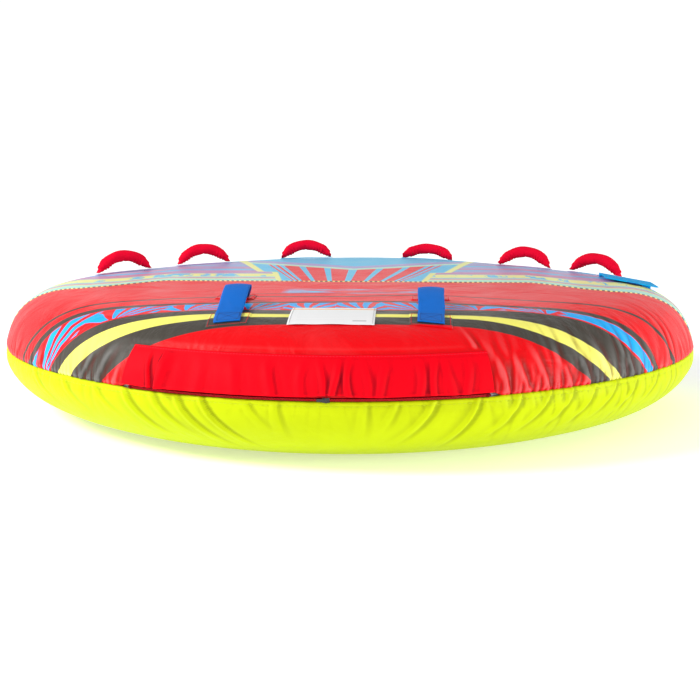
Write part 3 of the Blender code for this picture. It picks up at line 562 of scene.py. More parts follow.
nylon = {"Roughness": 0.6, "Specular IOR Level": 0.06, "Sheen Weight": 0.0, "Sheen Roughness": 0.5}
soft = {"Roughness": 0.75, "Specular IOR Level": 0.08, "Sheen Weight": 0.01, "Sheen Roughness": 0.5}
finishes = {
    "rear": rearPrint(), "deck": deckPrint(), "lime": limePlain(),
    "flap": plainCloth("flapNylon", "flapRed", nylon, wrinkle=0.35),
    "grip": plainCloth("gripCloth", "crimson", soft, yarn=0.0011, strength=0.5, wrinkle=0.5),
    "strap": webbingFinish("strapWebbing", "royal"),
    "tape": plainCloth("zipperTape", "deepRed", soft, source="Object", strength=0.5),
    "skyFlap": plainCloth("valveFlapCloth", "flapBlue", nylon),
    "navy": plainCloth("hookTape", "navy", soft, yarn=0.0009, strength=0.9),
    "redThread": hardFinish("redThread", "crimson", 0.7),
    "darkThread": hardFinish("darkThread", "ink", 0.7),
    "blueThread": hardFinish("blueThread", "navy", 0.6),
    "limeThread": hardFinish("limeThread", "lime", 0.6),
    "coil": hardFinish("zipperCoil", "flapRed", 0.35),
    "black": hardFinish("blackEnamel", "black", 0.32, coat=0.3),
    "vinyl": hardFinish("bladderVinyl", "vinyl", 0.35),
    "foam": hardFinish("gripFoam", "ink", 0.9, grain=0.002, scale=300.0),
    "blackWeb": plainCloth("blackWebbing", "black", soft, source="Object", yarn=0.002, strength=0.8),
    "towCloth": webbingFinish("towPatchWebbing", "black"),
    "valveBlack": hardFinish("valveBlack", "black", 0.45),
    "valveRed": hardFinish("valveCapRed", "crimson", 0.35),
    "steel": hardFinish("galvanisedSteel", "steel", 0.3, 1.0, scale=60.0),
}
print("materials ready")

# the cover: relief of the cloth, then the three panels
gathers = {"rightDepth": 0.0092, "leftDepth": 0.0056, "middleDepth": 0.0024, "spacing": 0.034,
           "rightReach": 0.085, "leftReach": 0.04, "seamDip": 0.0026, "seamWidth": 0.003}
foldLines = (  # bearing at the seam, bearing at the top end, length up the panel, width, height
    (23.3, 20.6, 0.175, 0.0035, 0.0036), (25.9, 23.6, 0.12, 0.006, 0.003), (29.2, 26.8, 0.1, 0.0055, 0.0026),
    (32.6, 30.6, 0.11, 0.006, 0.003), (36.8, 34.2, 0.105, 0.006, 0.0026), (40.6, 37.8, 0.12, 0.007, 0.003),
    (45.2, 42.0, 0.125, 0.0065, 0.0026), (50.6, 47.5, 0.12, 0.007, 0.0024),
    (57.0, 54.6, 0.105, 0.007, 0.0022),
    (-33.6, -31.5, 0.085, 0.006, 0.0022), (-37.2, -34.6, 0.11, 0.007, 0.0022),
    (-41.0, -37.5, 0.095, 0.0055, 0.0018),
    (-54.0, -51.0, 0.08, 0.006, 0.0014), (-64.0, -62.0, 0.07, 0.006, 0.0014),
    (69.0, 67.0, 0.08, 0.006, 0.0016))
limeFolds = (
    (21.3, 15.2, 0.15, 0.005, 0.004), (14.8, 8.0, 0.125, 0.006, 0.0028), (27.8, 22.0, 0.12, 0.006, 0.003),
    (33.0, 26.5, 0.11, 0.0055, 0.003), (37.2, 31.0, 0.115, 0.006, 0.0026),
    (41.8, 36.0, 0.115, 0.0055, 0.0028),
    (46.4, 41.0, 0.1, 0.0055, 0.0024), (51.5, 46.0, 0.105, 0.006, 0.0024), (57.6, 53.0, 0.09, 0.006, 0.0022),
    (5.0, 4.2, 0.1, 0.006, 0.0014), (-7.5, -6.6, 0.11, 0.006, 0.0014), (-18.4, -10.0, 0.15, 0.0045, 0.0036),
    (-22.4, -13.5, 0.165, 0.005, 0.003), (-26.6, -20.5, 0.11, 0.0055, 0.0026),
    (-31.8, -24.6, 0.13, 0.0055, 0.003),
    (-38.2, -33.0, 0.08, 0.005, 0.0016), (-46.0, -41.0, 0.09, 0.0055, 0.0016),
    (-55.0, -50.0, 0.085, 0.0055, 0.0014),
    (-11.8, -8.0, 0.075, 0.005, 0.0014), (9.5, 6.5, 0.08, 0.005, 0.0014))


def seamGathers(bearing, away, gain=1.0):
    # rounded ridges and sharp valleys that fade with distance from the bottom seam
    u = bearing * arcPerDegree
    right = ease((bearing - 20.0) / 8.0) * (1.0 - 0.55 * ease((np.abs(bearing) - 62.0) / 30.0))
    left = ease((-bearing - 32.0) / 8.0) * (1.0 - 0.35 * ease((np.abs(bearing) - 70.0) / 30.0))
    depth = gathers["middleDepth"] + (gathers["rightDepth"] - gathers["middleDepth"]) * right
    depth = depth + (gathers["leftDepth"] - gathers["middleDepth"]) * left
    reach = gathers["leftReach"] + (gathers["rightReach"] - gathers["leftReach"]) * right
    slant = -np.sign(bearing) * 0.2 * away
    phase = 2 * np.pi * (u + slant) / gathers["spacing"]
    phase = phase + 1.5 * np.sin(2 * np.pi * u / 0.23 + 0.6) + 0.9 * np.sin(2 * np.pi * u / 0.097 + 2.0)
    ridge = np.abs(np.sin(phase / 2)) ** 0.8 - 0.55
    fine = np.abs(np.sin(phase * 1.37 + 1.0)) ** 0.8 - 0.5
    uneven = 0.55 + 0.45 * np.sin(2 * np.pi * u / 0.171 + 2.2)
    fade = np.exp(-(away / reach) ** 1.3)
    fineFade = np.exp(-(away / 0.022) ** 1.2)
    return gain * depth * (ridge * uneven * fade * 0.62 + 0.45 * fine * fineFade)


def foldRelief(bearing, away, folds):
    # each fold is a narrow ridge along a slanting line, with a shallow valley on one side
    total = np.zeros_like(bearing)
    for low, high, reach, width, height in folds:
        share = np.clip(away / reach, 0.0, 1.3)
        line = low + (high - low) * share ** 1.25
        off = (bearing - line) * arcPerDegree
        size = 1.5 * height * (1.0 - ease(share)) * (0.5 + 0.5 * ease(away / 0.012))
        spread = width * (1.0 + 0.9 * share)
        total = total + size * (bell(off, spread) - 0.75 * bell(off - 1.7 * spread, spread * 1.1))
    return total


def underFlap(bearing, away):
    # 1 where the zipper's flap lies over the cover
    across = ease((bearing + 34.0) / 2.0) * (1.0 - ease((bearing - 22.6) / 1.2))
    return across * (1.0 - ease((away - 0.088) / 0.012))


def topRelief(bearing, away, x, y):
    lumps = 0.001 * (np.sin(9.0 * x + 3.0) * np.sin(7.0 * y + 1.0) + 0.6 * np.sin(23.0 * x + 11.0 * y))
    relief = lumps * ease(away / 0.3) * 0.5 + seamGathers(bearing, away)
    relief = relief + foldRelief(bearing, away, foldLines)
    flapShare = underFlap(bearing, away)
    relief = relief * (1.0 - flapShare) - 0.0008 * flapShare
    deckShare = ease((away - 0.2) / 0.06)
    relief = relief * (1.0 - deckShare) + deckShare * np.minimum(lumps * 0.4, 0.0003)
    seam = y - seamLine(x)
    return relief - gathers["seamDip"] * np.exp(-(away / gathers["seamWidth"]) ** 1.5) \
        - 0.0008 * bell(seam, 0.0035)


def baseRelief(bearing, away, *others):
    relief = seamGathers(bearing, away, 0.55) + 0.9 * foldRelief(bearing, away, limeFolds)
    hem = -0.0007 * bell(away - 0.0105, 0.0016)
    fade = 1.0 - ease((away - 0.19) / 0.05)
    return np.minimum(relief * fade, 0.0075) + hem \
        - gathers["seamDip"] * np.exp(-(away / gathers["seamWidth"]) ** 1.5)


zipper = {"start": -31.0, "end": 23.5, "z": 0.1465, "slot": 0.0037, "face": 0.0}
zipper["face"] = tube["rearRadius"] * float(partAtHeight(zipper["z"]))


def rimLimit(section, bearing):
    # panels stop at the seam, or a little short of it along the zipper
    offset = 0.002 if section is topSection else -0.002
    mask = ease((bearing - zipper["start"] + 1.5) / 1.2) * (1.0 - ease((bearing - zipper["end"] - 0.3) / 1.2))
    return 1.0 - (0.00015 + (zipper["slot"] + offset - 0.00015) * mask) / section["total"]


def ringLength(ring):
    return np.interp(ring, (0.0, 5 / 14, 1.0), (0.0, 0.68, 1.0))


def seamRows(across):
    # the row at which each column of the square crosses the deck seam, found by halving
    low, high = -np.ones_like(across), np.ones_like(across)
    for _ in range(36):
        middle = (low + high) / 2
        ring, bearing = squareToDisc(across, middle)
        place = coverPoint(topSection, ringLength(ring) * rimLimit(topSection, bearing), bearing)
        behind = place[:, 1] < seamLine(place[:, 0])
        low, high = np.where(behind, middle, low), np.where(behind, high, middle)
    return (low + high) / 2


def smoothLine(points, rounds=3):
    # corners cut at a quarter and three quarters of each side, a few times over
    line = np.array(points, dtype=float)
    for _ in range(rounds):
        near = 0.75 * line[:-1] + 0.25 * line[1:]
        far = 0.25 * line[:-1] + 0.75 * line[1:]
        line = np.concatenate([line[:1], np.stack([near, far], axis=1).reshape(-1, 2), line[-1:]])
    return line


def archDistance(bearing, away, points):
    # distance to an arch drawn on the unrolled rear wall, positive inside the arch
    line = smoothLine(points)
    edge = line * np.array((arcPerDegree, 1.0))
    u, v = bearing.ravel() * arcPerDegree, away.ravel()
    best = np.full(u.shape, 9.0)
    for (ax, ay), (bx, by) in zip(edge[:-1], edge[1:]):
        dx, dy = bx - ax, by - ay
        share = np.clip(((u - ax) * dx + (v - ay) * dy) / (dx * dx + dy * dy), 0.0, 1.0)
        best = np.minimum(best, np.hypot(u - ax - share * dx, v - ay - share * dy))
    height = np.interp(bearing.ravel(), line[:, 0], line[:, 1], left=-1.0, right=-1.0)
    return np.where(v < height, best, -best).reshape(bearing.shape)


rearLines = {  # bearing in degrees, and metres up the cover from the bottom seam
    "line1": ((-60.2, -0.02), (-59.7, 0.02), (-57.4, 0.068), (-55.0, 0.119), (-51.9, 0.174), (-48.4, 0.217),
              (-45.1, 0.256), (-41.8, 0.3), (-38.0, 0.345), (-34.2, 0.385), (-24.7, 0.441), (-12.0, 0.47),
              (0.0, 0.477), (12.0, 0.487), (24.0, 0.478), (33.0, 0.446), (36.3, 0.414), (40.7, 0.357),
              (44.0, 0.313), (47.3, 0.27), (51.7, 0.222), (56.1, 0.178), (58.6, 0.14), (60.8, 0.099),
              (62.4, 0.052), (63.6, 0.01), (63.9, -0.02)),
    "line2": ((-57.3, -0.02), (-56.6, 0.01), (-54.2, 0.068), (-51.0, 0.122), (-46.8, 0.168), (-42.0, 0.205),
              (-37.4, 0.241), (-30.8, 0.29), (-24.2, 0.332), (-18.7, 0.357), (-11.0, 0.38), (0.0, 0.392),
              (11.0, 0.395), (17.6, 0.382), (23.7, 0.349), (28.6, 0.311), (33.0, 0.28), (38.5, 0.241),
              (44.0, 0.203), (48.4, 0.162), (51.9, 0.122), (54.9, 0.068), (57.4, 0.005), (58.0, -0.02)),
    "leafEdge": ((-50.2, -0.02), (-49.4, 0.01), (-47.0, 0.052), (-44.0, 0.097), (-39.6, 0.146),
    (-34.1, 0.186),
                 (-28.6, 0.217), (-22.0, 0.247), (-15.4, 0.266), (-8.0, 0.277), (0.0, 0.281), (8.0, 0.279),
                 (15.4, 0.271), (22.0, 0.258), (28.6, 0.24), (35.2, 0.211), (40.7, 0.176), (45.1, 0.138),
                 (48.6, 0.091), (51.6, 0.044), (54.0, 0.005), (55.0, -0.02)),
    "goldOuter": ((-48.0, -0.02), (-47.2, 0.005), (-45.1, 0.042), (-41.8, 0.083), (-36.8, 0.13),
    (-31.9, 0.165),
                  (-26.4, 0.196), (-22.0, 0.213), (-16.5, 0.227), (-8.8, 0.238), (0.0, 0.243), (8.2, 0.243),
                  (14.3, 0.235), (19.8, 0.222), (26.4, 0.203), (31.9, 0.174), (37.4, 0.131), (41.8, 0.084),
                  (45.1, 0.044), (47.8, 0.004), (49.0, -0.02)),
    "goldInner": ((-45.0, -0.02), (-43.8, 0.004), (-42.0, 0.03), (-38.5, 0.068), (-33.0, 0.114),
    (-28.6, 0.145),
                  (-23.1, 0.174), (-16.5, 0.202), (-8.8, 0.214), (0.0, 0.219), (8.2, 0.219), (14.3, 0.211),
                  (19.8, 0.2), (25.3, 0.183), (29.7, 0.154), (34.1, 0.116), (38.5, 0.076), (42.4, 0.037),
                  (45.0, 0.004), (46.0, -0.02)),
    "arch": ((-37.6, -0.02), (-36.5, 0.004), (-33.6, 0.036), (-31.3, 0.064), (-28.0, 0.09), (-23.1, 0.123),
             (-18.7, 0.146), (-14.3, 0.161), (-7.7, 0.173), (0.0, 0.177), (7.7, 0.176), (14.3, 0.169),
             (20.9, 0.158), (25.3, 0.14), (29.7, 0.115), (34.1, 0.08), (37.6, 0.044), (41.0, 0.005),
             (42.0, -0.02))}
keystone = {"barHalf": 0.17, "barSpread": 0.32, "y": (-0.1, 0.13, 0.135, 0.46, 0.75),
            "left": (0.152, 0.19, 0.225, 0.318, 0.4), "right": (0.17, 0.2, 0.235, 0.306, 0.39),
            "chevronX": (-0.4, -0.25, 0.0, 0.25, 0.4), "chevronY": (0.4, 0.335, 0.19, 0.33, 0.4)}
panels = {"across": 381, "rear": 171, "front": 221, "under": 301, "tuck": 0.0048}


def clothFields(x, y, bearing, away):
    # distances to the printed lines
    made = {key: archDistance(bearing, away, points) for key, points in rearLines.items()}
    made["along"] = bearing * arcPerDegree
    made["solidLeaf"] = ease((bearing - 41.0) / 6.0)
    return made


def creaseShade(lift, reach=3, size=0.0012):
    # how far each point lies below the mean of its neighbours, as a share of size
    mean = lift
    for axis in (0, 1):
        sides = [(0, 0), (0, 0)]
        sides[axis] = (reach, reach)
        wide = np.cumsum(np.pad(mean, sides, mode="edge"), axis=axis)
        count = mean.shape[axis]
        high = np.take(wide, np.arange(2 * reach, 2 * reach + count), axis=axis)
        sides[axis] = (1, 0)
        low = np.take(np.pad(wide, sides), np.arange(count), axis=axis)
        mean = (high - low) / (2 * reach + 1)
    return np.clip((mean - lift) / size, -1.0, 1.0)


def deckFields(x, y, *others):
    half = np.where(x < 0, np.interp(y, keystone["y"], keystone["left"]),
                    np.interp(y, keystone["y"], keystone["right"]))
    return {"forward": y - seamLine(x), "keyAcross": x / half,
            "barAcross": np.abs(x) / (keystone["barHalf"] + keystone["barSpread"] * y),
            "chevron": y - np.interp(x, keystone["chevronX"], keystone["chevronY"])}


def buildPanel(name, section, across, along, relief, fieldsOf, finish, node, slot, hole=False):
    # a panel's grid with one more row tucked in all round, so that its edges turn inwards at the seams
    ring, bearing = squareToDisc(np.pad(across, 1, mode="edge"), np.pad(along, 1, mode="edge"))
    length = ringLength(ring) * rimLimit(section, bearing)
    away = (1.0 - length) * section["total"]
    flat = coverPoint(section, length, bearing)
    tuck = np.pad(np.zeros_like(across), 1, constant_values=panels["tuck"])
    lift = relief(bearing, away, flat[..., 0], flat[..., 1]) - tuck
    points = coverPoint(section, length, bearing, lift)
    reach = section["total"] * length
    uv = stacked(reach * np.sin(np.radians(bearing)), -reach * np.cos(np.radians(bearing)))
    # crease shading: how far the relief dips below its neighbours, used for painted shade in the hollows
    fields = dict(fieldsOf(flat[..., 0], flat[..., 1], bearing, away), creaseShading=creaseShade(lift + tuck))
    faces = gridFaces(*lift.shape, flip=section is baseSection)
    if hole:
        points, faces = cutValveHole(points.reshape(-1, 3), faces)
    settle(newPiece(name, points, faces.tolist(), finishes[finish], uv, fields), "tube", node)


def buildPanels():
    across = np.linspace(-1.0, 1.0, panels["across"])
    seam = seamRows(across)
    rear = -1.0 + (seam + 1.0) * np.linspace(0.0, 1.0, panels["rear"])[:, None]
    front = seam + (1.0 - seam) * np.linspace(0.0, 1.0, panels["front"])[:, None]
    under = np.meshgrid(*[np.linspace(-1.0, 1.0, panels["under"])] * 2)
    buildPanel("coverRearTop", topSection, np.broadcast_to(across, rear.shape), rear, topRelief,
               clothFields, "rear", "cover_rear_top_panel", "cover_red")
    buildPanel("coverFrontTop", topSection, np.broadcast_to(across, front.shape), front, topRelief,
               deckFields, "deck", "cover_front_top_panel", "cover_deck", hole=True)
    buildPanel("coverBottom", baseSection, *under, baseRelief, lambda *others: {},
               "lime", "cover_bottom_panel", "cover_lime")


valve = {"x": 0.662, "y": 0.041, "hole": 0.032}


def deckSpot(x, y):
    # a point of the deck, and the deck's normal there
    base = Vector(deckPoint(np.array(x), np.array(y)))
    return base, (Vector(deckPoint(np.array(x), np.array(y), 0.01)) - base).normalized()


def deckShell(name, px, py, low, high, finish, uv=None, fields=None, flip=False):
    # a thin shell over the deck, between two heights
    uv = stacked(px, py) if uv is None else uv
    return shellPiece(name, deckPoint(px, py, high), deckPoint(px, py, low), finish, uv, fields, flip)


def valveFrame():
    # origin on the deck over the valve, Z along the deck's normal there
    base, up = deckSpot(valve["x"], valve["y"])
    along = Vector((0.0, 1.0, 0.0))
    along = (along - up * along.dot(up)).normalized()
    return Matrix.Translation(base) @ Matrix((along.cross(up), along, up)).transposed().to_4x4()


def cutValveHole(points, faces):
    # faces inside the hole go, and the ring of points left at its edge moves onto the circle
    place = valveFrame()
    local = throughMatrix(points, place.inverted())
    radius = np.hypot(local[:, 0], local[:, 1])
    inside = (radius < valve["hole"]) & (np.abs(local[:, 2]) < 0.03)
    keep = ~inside[faces].all(axis=1)
    dropped, used = np.zeros((2, len(points)), dtype=bool)
    dropped[faces[~keep].ravel()] = True
    used[faces[keep].ravel()] = True
    edge = used & (dropped | inside)
    local[:, :2] *= np.where(edge, valve["hole"] / np.maximum(radius, 1e-6), 1.0)[:, None]
    return np.where(edge[:, None], throughMatrix(local, place), points), faces[keep]


buildPanels()
print("cover panels ready")

# seams: tape over the deck seam and threads
seamTrim = {"tapeWidth": 0.005, "tapeLift": 0.0009, "hem": 0.0105, "block": 0.0115}


def deckSeamPath(offset=0.0, lift=0.0, count=700):
    x = np.linspace(-0.786, 0.786, count)
    y = seamLine(x)
    smooth = np.convolve(np.pad(y, 9, mode="edge"), np.ones(19) / 19, mode="valid")
    return deckPoint(x, smooth + offset, lift)


def seamTape():
    # a narrow flat binding that follows the deck seam
    half, rise = seamTrim["tapeWidth"] / 2, seamTrim["tapeLift"]
    section = ((half, -0.0012), (half, rise * 0.6), (0.0, rise * 1.2), (-half, rise * 0.6), (-half, -0.0012))
    rings = np.stack([deckSeamPath(offset, lift) for offset, lift in section], axis=1)
    settle(tubePiece("deckSeamTape", rings, tapeFinish()), "tube")


def tapeFinish():
    # dark binding with pale yellow blocks of thread, by turns along the seam
    finish, shader = startFinish("seamBinding")
    dash = wave(apart(placed())[0], seamTrim["block"])
    fill(shader, {"Base Color": mixColour(over(dash, 0.1, 0.1), "binding", "cream"), "Roughness": 0.7})
    bump(shader, (noise(placed(), 400.0, 2.0), 0.5, 0.0005))
    return finish


def threadLine(name, path, finish, pitch, length, width):
    # stitches a pitch apart along a path
    place, ahead = alongPath(path, pitch)
    return settle(stitchPiece(name, place, ahead, outwardAt(place), finish, length, width), "tube")


def outwardAt(place):
    # roughly outwards and up from the tube's middle
    flat = unit(place * np.array((1.0, 1.0, 0.0)), 1e-9)
    share = ease((np.hypot(place[:, 0], place[:, 1]) / 0.76 - 0.8) / 0.2)[:, None]
    return flat * share + np.array((0.0, 0.0, 1.0)) * (1.0 - share)


def bottomSeamThreads():
    bearing = np.linspace(-180.0, 180.0, 2400)
    away = np.full_like(bearing, seamTrim["hem"])
    lift = baseRelief(bearing, away) + 0.0004
    path = coverPoint(baseSection, 1.0 - away / baseSection["total"], bearing, lift)
    threadLine("hemThread", path, finishes["limeThread"], 0.01, 0.0068, 0.0006)


seamTape()
bottomSeamThreads()
print("seams ready")

# zipper and its flap
flap = {"top": 0.2225, "low": 0.1512, "thick": 0.0012, "columns": 421, "rows": 49, "flat": (0.745, 0.0825),
        "folds": ((-26.9, 0.0044, 0.34), (-24.8, 0.0046, 0.8), (-19.0, 0.0028, 0.9), (-13.6, 0.0026, 0.8),
                  (-8.2, 0.0036, 0.7), (-3.4, 0.0026, 0.6), (-1.0, 0.0022, 0.4), (0.9, 0.0042, 0.5),
                  (3.1, 0.0036, 0.45), (5.2, 0.0022, 0.5), (7.4, 0.003, 0.6), (12.6, 0.0042, 0.6),
                  (15.0, 0.0034, 0.5), (17.0, 0.002, 0.5), (19.6, 0.003, 0.6))}


def buildFlap():
    # a strip hanging from its sewn top edge: folds deepen towards the free lower edge
    bearing = np.linspace(zipper["start"], zipper["end"], flap["columns"])
    hang = np.linspace(0.0, 1.0, flap["rows"])
    turn, hung = np.meshgrid(bearing, hang)
    rise = 0.0026 * bell(turn - 0.2, 3.4) + 0.001 * np.sin(turn * 0.55 + 0.8) * bell(turn - 12.0, 14.0)
    drop = -0.001 * bell(turn + 27.0, 3.0) + rise
    level = flap["top"] - (flap["top"] - flap["low"] - drop) * hung
    left = 0.5 * hung * ease((-turn - 24.6) / 6.0)
    turn = turn - left
    length = np.interp(partAtHeight(level), topSection["part"], topSection["length"])
    lift = 0.001 + 0.006 * hung ** 1.1
    folds = np.zeros_like(turn)
    for place, height, width in flap["folds"]:
        off = turn - (place + 0.5 * np.sin(3.0 * hung + place))
        folds = folds + height * ease(hung / 0.6) * (bell(off, width) - 0.4 * bell(off - 2 * width, width))
    step = ease((turn + 25.2) / 0.35) * (1.0 - ease((turn + 24.4) / 5.0))
    folds = folds + 0.0095 * step * ease((hung - 0.02) / 0.5)
    billow = 0.0016 * np.sin(turn * 0.42 + 1.0) * np.sin(np.pi * hung) + 0.0012 * np.sin(np.pi * hung)
    lift = lift + np.maximum(folds, -0.0007) + np.maximum(billow, -0.0002) + 0.0006 * bell(hung - 0.975, 0.02)
    lift = lift + 0.0009 * bell(hung - 0.03, 0.02)
    outer = coverPoint(topSection, length, turn, lift + flap["thick"])
    inner = coverPoint(topSection, length, turn, lift)
    uv = np.stack([turn * arcPerDegree, hung * 0.073], axis=-1)
    # painted shade for the folds of the flap
    shade = creaseShade(lift - 0.006 * hung ** 1.1, 4, 0.0011)
    piece = shellPiece("zipperFlap", outer, inner, finishes["flap"], uv, {"creaseShading": shade}, flip=True)
    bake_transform(piece)
    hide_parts("zipper_flap")
    place, ahead = alongPath(outer[2], 0.0062)
    threads = stitchPiece("flapTopThread", place + outwardAt(place) * 0.0003, ahead, outwardAt(place),
                          finishes["redThread"], 0.0044, 0.0005)
    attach(threads, "tube")


def zipperTeeth():
    # coil loops on each side of the slot: small arched beads a pitch apart
    pitch = 0.0028
    span = math.radians(zipper["end"] - zipper["start"] - 1.4) * zipper["face"]
    count = int(span / pitch)
    for name, side in (("zipperCoilUpper", 1.0), ("zipperCoilLower", -1.0)):
        walked = (np.arange(count) + 0.25 * (side + 1)) * pitch
        angle = np.radians(zipper["start"] + 0.7) + walked / zipper["face"]
        out = stacked(np.sin(angle), -np.cos(angle), 0.0)
        along = stacked(np.cos(angle), np.sin(angle), 0.0)
        place = out * (zipper["face"] + 0.0007) + np.array((0.0, 0.0, zipper["z"] + side * 0.0011))
        ahead = np.array((0.0, 0.0, 1.0)) + along * 0.25 * side
        settle(stitchPiece(name, place, ahead, out, finishes["coil"], 0.0022, 0.00075), "tube")


buildFlap()
zipperTeeth()
print("zipper and flap ready")

# handles: padded cloth sleeves on webbing
handles = {"places": ((-0.574, 0.15, 34.0, 0.0), (-0.405, 0.345, 24.0, 0.0), (-0.15, 0.56, 8.0, 25.0),
                      (0.19, 0.558, -8.0, 44.0), (0.44, 0.325, -24.0, 16.0), (0.605, 0.185, -36.0, 0.0)),
           "half": 0.06, "endLift": 0.0135, "rise": 0.027, "radius": 0.0141, "endRadius": 0.01,
           "sides": 40, "axisLift": 0.006, "patchOver": 0.014, "patchWidth": 0.026}


def handleFrame(x, y, turn):
    # X along the base line, Z along the deck's normal, origin on the deck
    angle = math.radians(turn)
    reach = 0.9 * handles["half"]
    dx, dy = reach * math.cos(angle), reach * math.sin(angle)
    first, second = (deckSpot(x + way * dx, y + way * dy)[0] for way in (-1, 1))
    along = (second - first).normalized()
    middle, up = deckSpot(x, y)
    up = (up - along * up.dot(along)).normalized()
    base = (first + second) / 2
    base += up * max(0.0, (middle - base).dot(up))
    return Matrix.Translation(base) @ Matrix((along, up.cross(along), up)).transposed().to_4x4()


def gripRings(number):
    # centre line: an arch of power 2.2 that runs down into two flat tongues at the deck
    share = np.linspace(-1.0, 1.0, 111)
    arch = stacked(handles["half"] * share, 0.0,
                   handles["endLift"] + handles["rise"] * (1.0 - np.abs(share) ** 2.2))
    foot = np.linspace(1.0, 0.0, 9)[:-1]
    leftEnd = arch[0] + stacked(-0.0095 * foot ** 1.6, 0.0, -0.0088 * foot)
    rightEnd = arch[-1] + stacked(0.0095 * foot ** 1.6, 0.0, -0.0088 * foot)[::-1]
    path = np.concatenate([leftEnd, arch, rightEnd])
    tongue = np.concatenate([foot, np.zeros(len(arch)), foot[::-1]])
    spread = np.abs(np.concatenate([-1.0 - 0.1 * foot, share, 1.0 + 0.1 * foot[::-1]]))
    radius = handles["endRadius"] + (handles["radius"] - handles["endRadius"]) * ease((1.0 - spread) / 0.22)
    angle = circle(handles["sides"])
    side = np.array((0.0, 1.0, 0.0))
    upward = np.cross(unit(np.gradient(path, axis=0)), side)
    arc = runLength(path)[:, None]
    under = ease((-np.sin(angle) + 0.1) / 0.9)
    bend = ease((spread - 0.25) / 0.5)[:, None]
    seed = number * 1.7
    cross = np.abs(np.sin(arc * 2 * np.pi / 0.0175 + 1.2 * np.sin(angle) + seed)) ** 0.7
    cross = cross + 0.5 * np.abs(np.sin(arc * 2 * np.pi / 0.0107 + seed * 2 + angle)) ** 0.8
    skew = np.sin(arc * 2 * np.pi / 0.051 + 2 * angle + seed)
    wrinkle = 1.0 - 0.2 * under * bend * (1.35 - cross) - 0.05 * bend * (1.3 - cross) + 0.035 * skew
    middlePinch = 1.0 - 0.1 * bell(spread, 0.05)[:, None] * under
    gathered = 1.0 + 0.07 * tongue[:, None] * np.sin(7 * angle)
    grow = wrinkle * middlePinch * gathered
    wide = (radius * (1.0 + 0.1 * tongue))[:, None] * grow * np.cos(angle)
    thin = (radius * (1.0 - 0.82 * tongue))[:, None] * grow * np.sin(angle)
    ring = path[:, None] + wide[..., None] * side + thin[..., None] * upward[:, None]
    return ring, stacked(arc, angle * handles["radius"])


def buildHandles():
    for number, (x, y, turn, lean) in enumerate(handles["places"], start=1):
        axis = Matrix.Translation((0.0, 0.0, handles["axisLift"]))
        tilt = axis @ Matrix.Rotation(math.radians(-lean), 4, "X") @ axis.inverted()
        place = handleFrame(x, y, turn) @ tilt
        ring, uv = gripRings(number)
        grip = tubePiece(f"handle{number}Sleeve", throughMatrix(ring, place), finishes["grip"], uv)
        base = handleFrame(x, y, turn)
        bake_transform(grip)
        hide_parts(f"handle_{number}_cover")
        buildPatch(number, x, y, turn)


def buildPatch(number, x, y, turn):
    # the strip the webbing is sewn to: flat on the deck with rounded corners
    angle = math.radians(turn)
    reach = handles["half"] + handles["patchOver"]
    out, wide = np.meshgrid(np.linspace(-1.0, 1.0, 41), np.linspace(-1.0, 1.0, 9), indexing="ij")
    narrow = 1.0 - 0.25 * ease((np.abs(out) - 0.93) / 0.07)
    half = handles["patchWidth"] / 2
    px = x + out * reach * math.cos(angle) - wide * narrow * half * math.sin(angle)
    py = y + out * reach * math.sin(angle) + wide * narrow * half * math.cos(angle)
    edge = np.maximum(ease((np.abs(wide) - 0.75) / 0.25), ease((np.abs(out) - 0.96) / 0.04))
    piece = deckShell(f"handle{number}Patch", px, py, 0.0005, 0.0021 - 0.0008 * edge, finishes["deck"],
                      stacked(wide * half, out * reach), deckFields(px, py), flip=True)
    settle(piece, "tube", f"handle_{number}_patch")


buildHandles()
print("handles ready")

# boarding straps, their patches and the label
straps = {"width": 0.0508, "thick": 0.0016, "rear": -0.626, "front": -0.345, "sewn": 0.046, "flat": 0.316,
          "base": 0.0003 + 0.001 + 0.0022,
          "each": (("left", -0.198, -0.217, 0.036, 0.014), ("right", 0.187, 0.189, 0.032, 0.001))}


def strapLift(y, bow):
    # bow times the sine of the free run's share, to the power 1.35
    share = (y - straps["rear"] - straps["sewn"]) / (straps["front"] - straps["rear"] - 2 * straps["sewn"])
    return bow * np.sin(np.pi * np.clip(share, 0.0, 1.0)) ** 1.35


def onPrint(x, y):
    # the rear print's fields at points of the deck, so that a patch carries the same print
    bearing = np.degrees(np.arctan2(x, -y))
    part = np.hypot(x, y) / outlineRadius(bearing)
    away = (1.0 - np.interp(part, topSection["part"], topSection["length"])) * topSection["total"]
    return clothFields(x, y, bearing, away)


def buildStraps():
    for side, rearX, frontX, bow, bulge in straps["each"]:
        y = np.linspace(straps["rear"], straps["front"], 141)[:, None]
        middle = rearX + (frontX - rearX) * (y - straps["rear"]) / (straps["front"] - straps["rear"])
        wide = np.linspace(-0.5, 0.5, 13)
        free = ease((y - straps["rear"] - straps["sewn"] * 0.8) / 0.03) * \
            (1.0 - ease((y - straps["front"] + straps["sewn"] * 1.1) / 0.03))
        sway = 0.0016 * free * np.sin((y - straps["rear"]) * 38.0) + bulge * strapLift(y, 1.0)
        px, py = np.broadcast_arrays(middle + wide * straps["width"] + sway, y)
        lift = straps["base"] + strapLift(y, bow) + 0.0022 * free * (1.0 - (2 * wide) ** 2)
        outer = deckPoint(px, py, lift + straps["thick"] + 0.0013 * (1.0 - free))
        uv = stacked(wide * straps["width"], runLength(outer[:, 6])[:, None])
        strap = shellPiece(f"boardingStrap_{side}", outer, deckPoint(px, py, lift), finishes["strap"], uv)
        settle(strap, "tube", f"boarding_strap_{side}")
        sewBoxes(side, rearX, frontX)
        strapPatches(side, rearX, frontX)


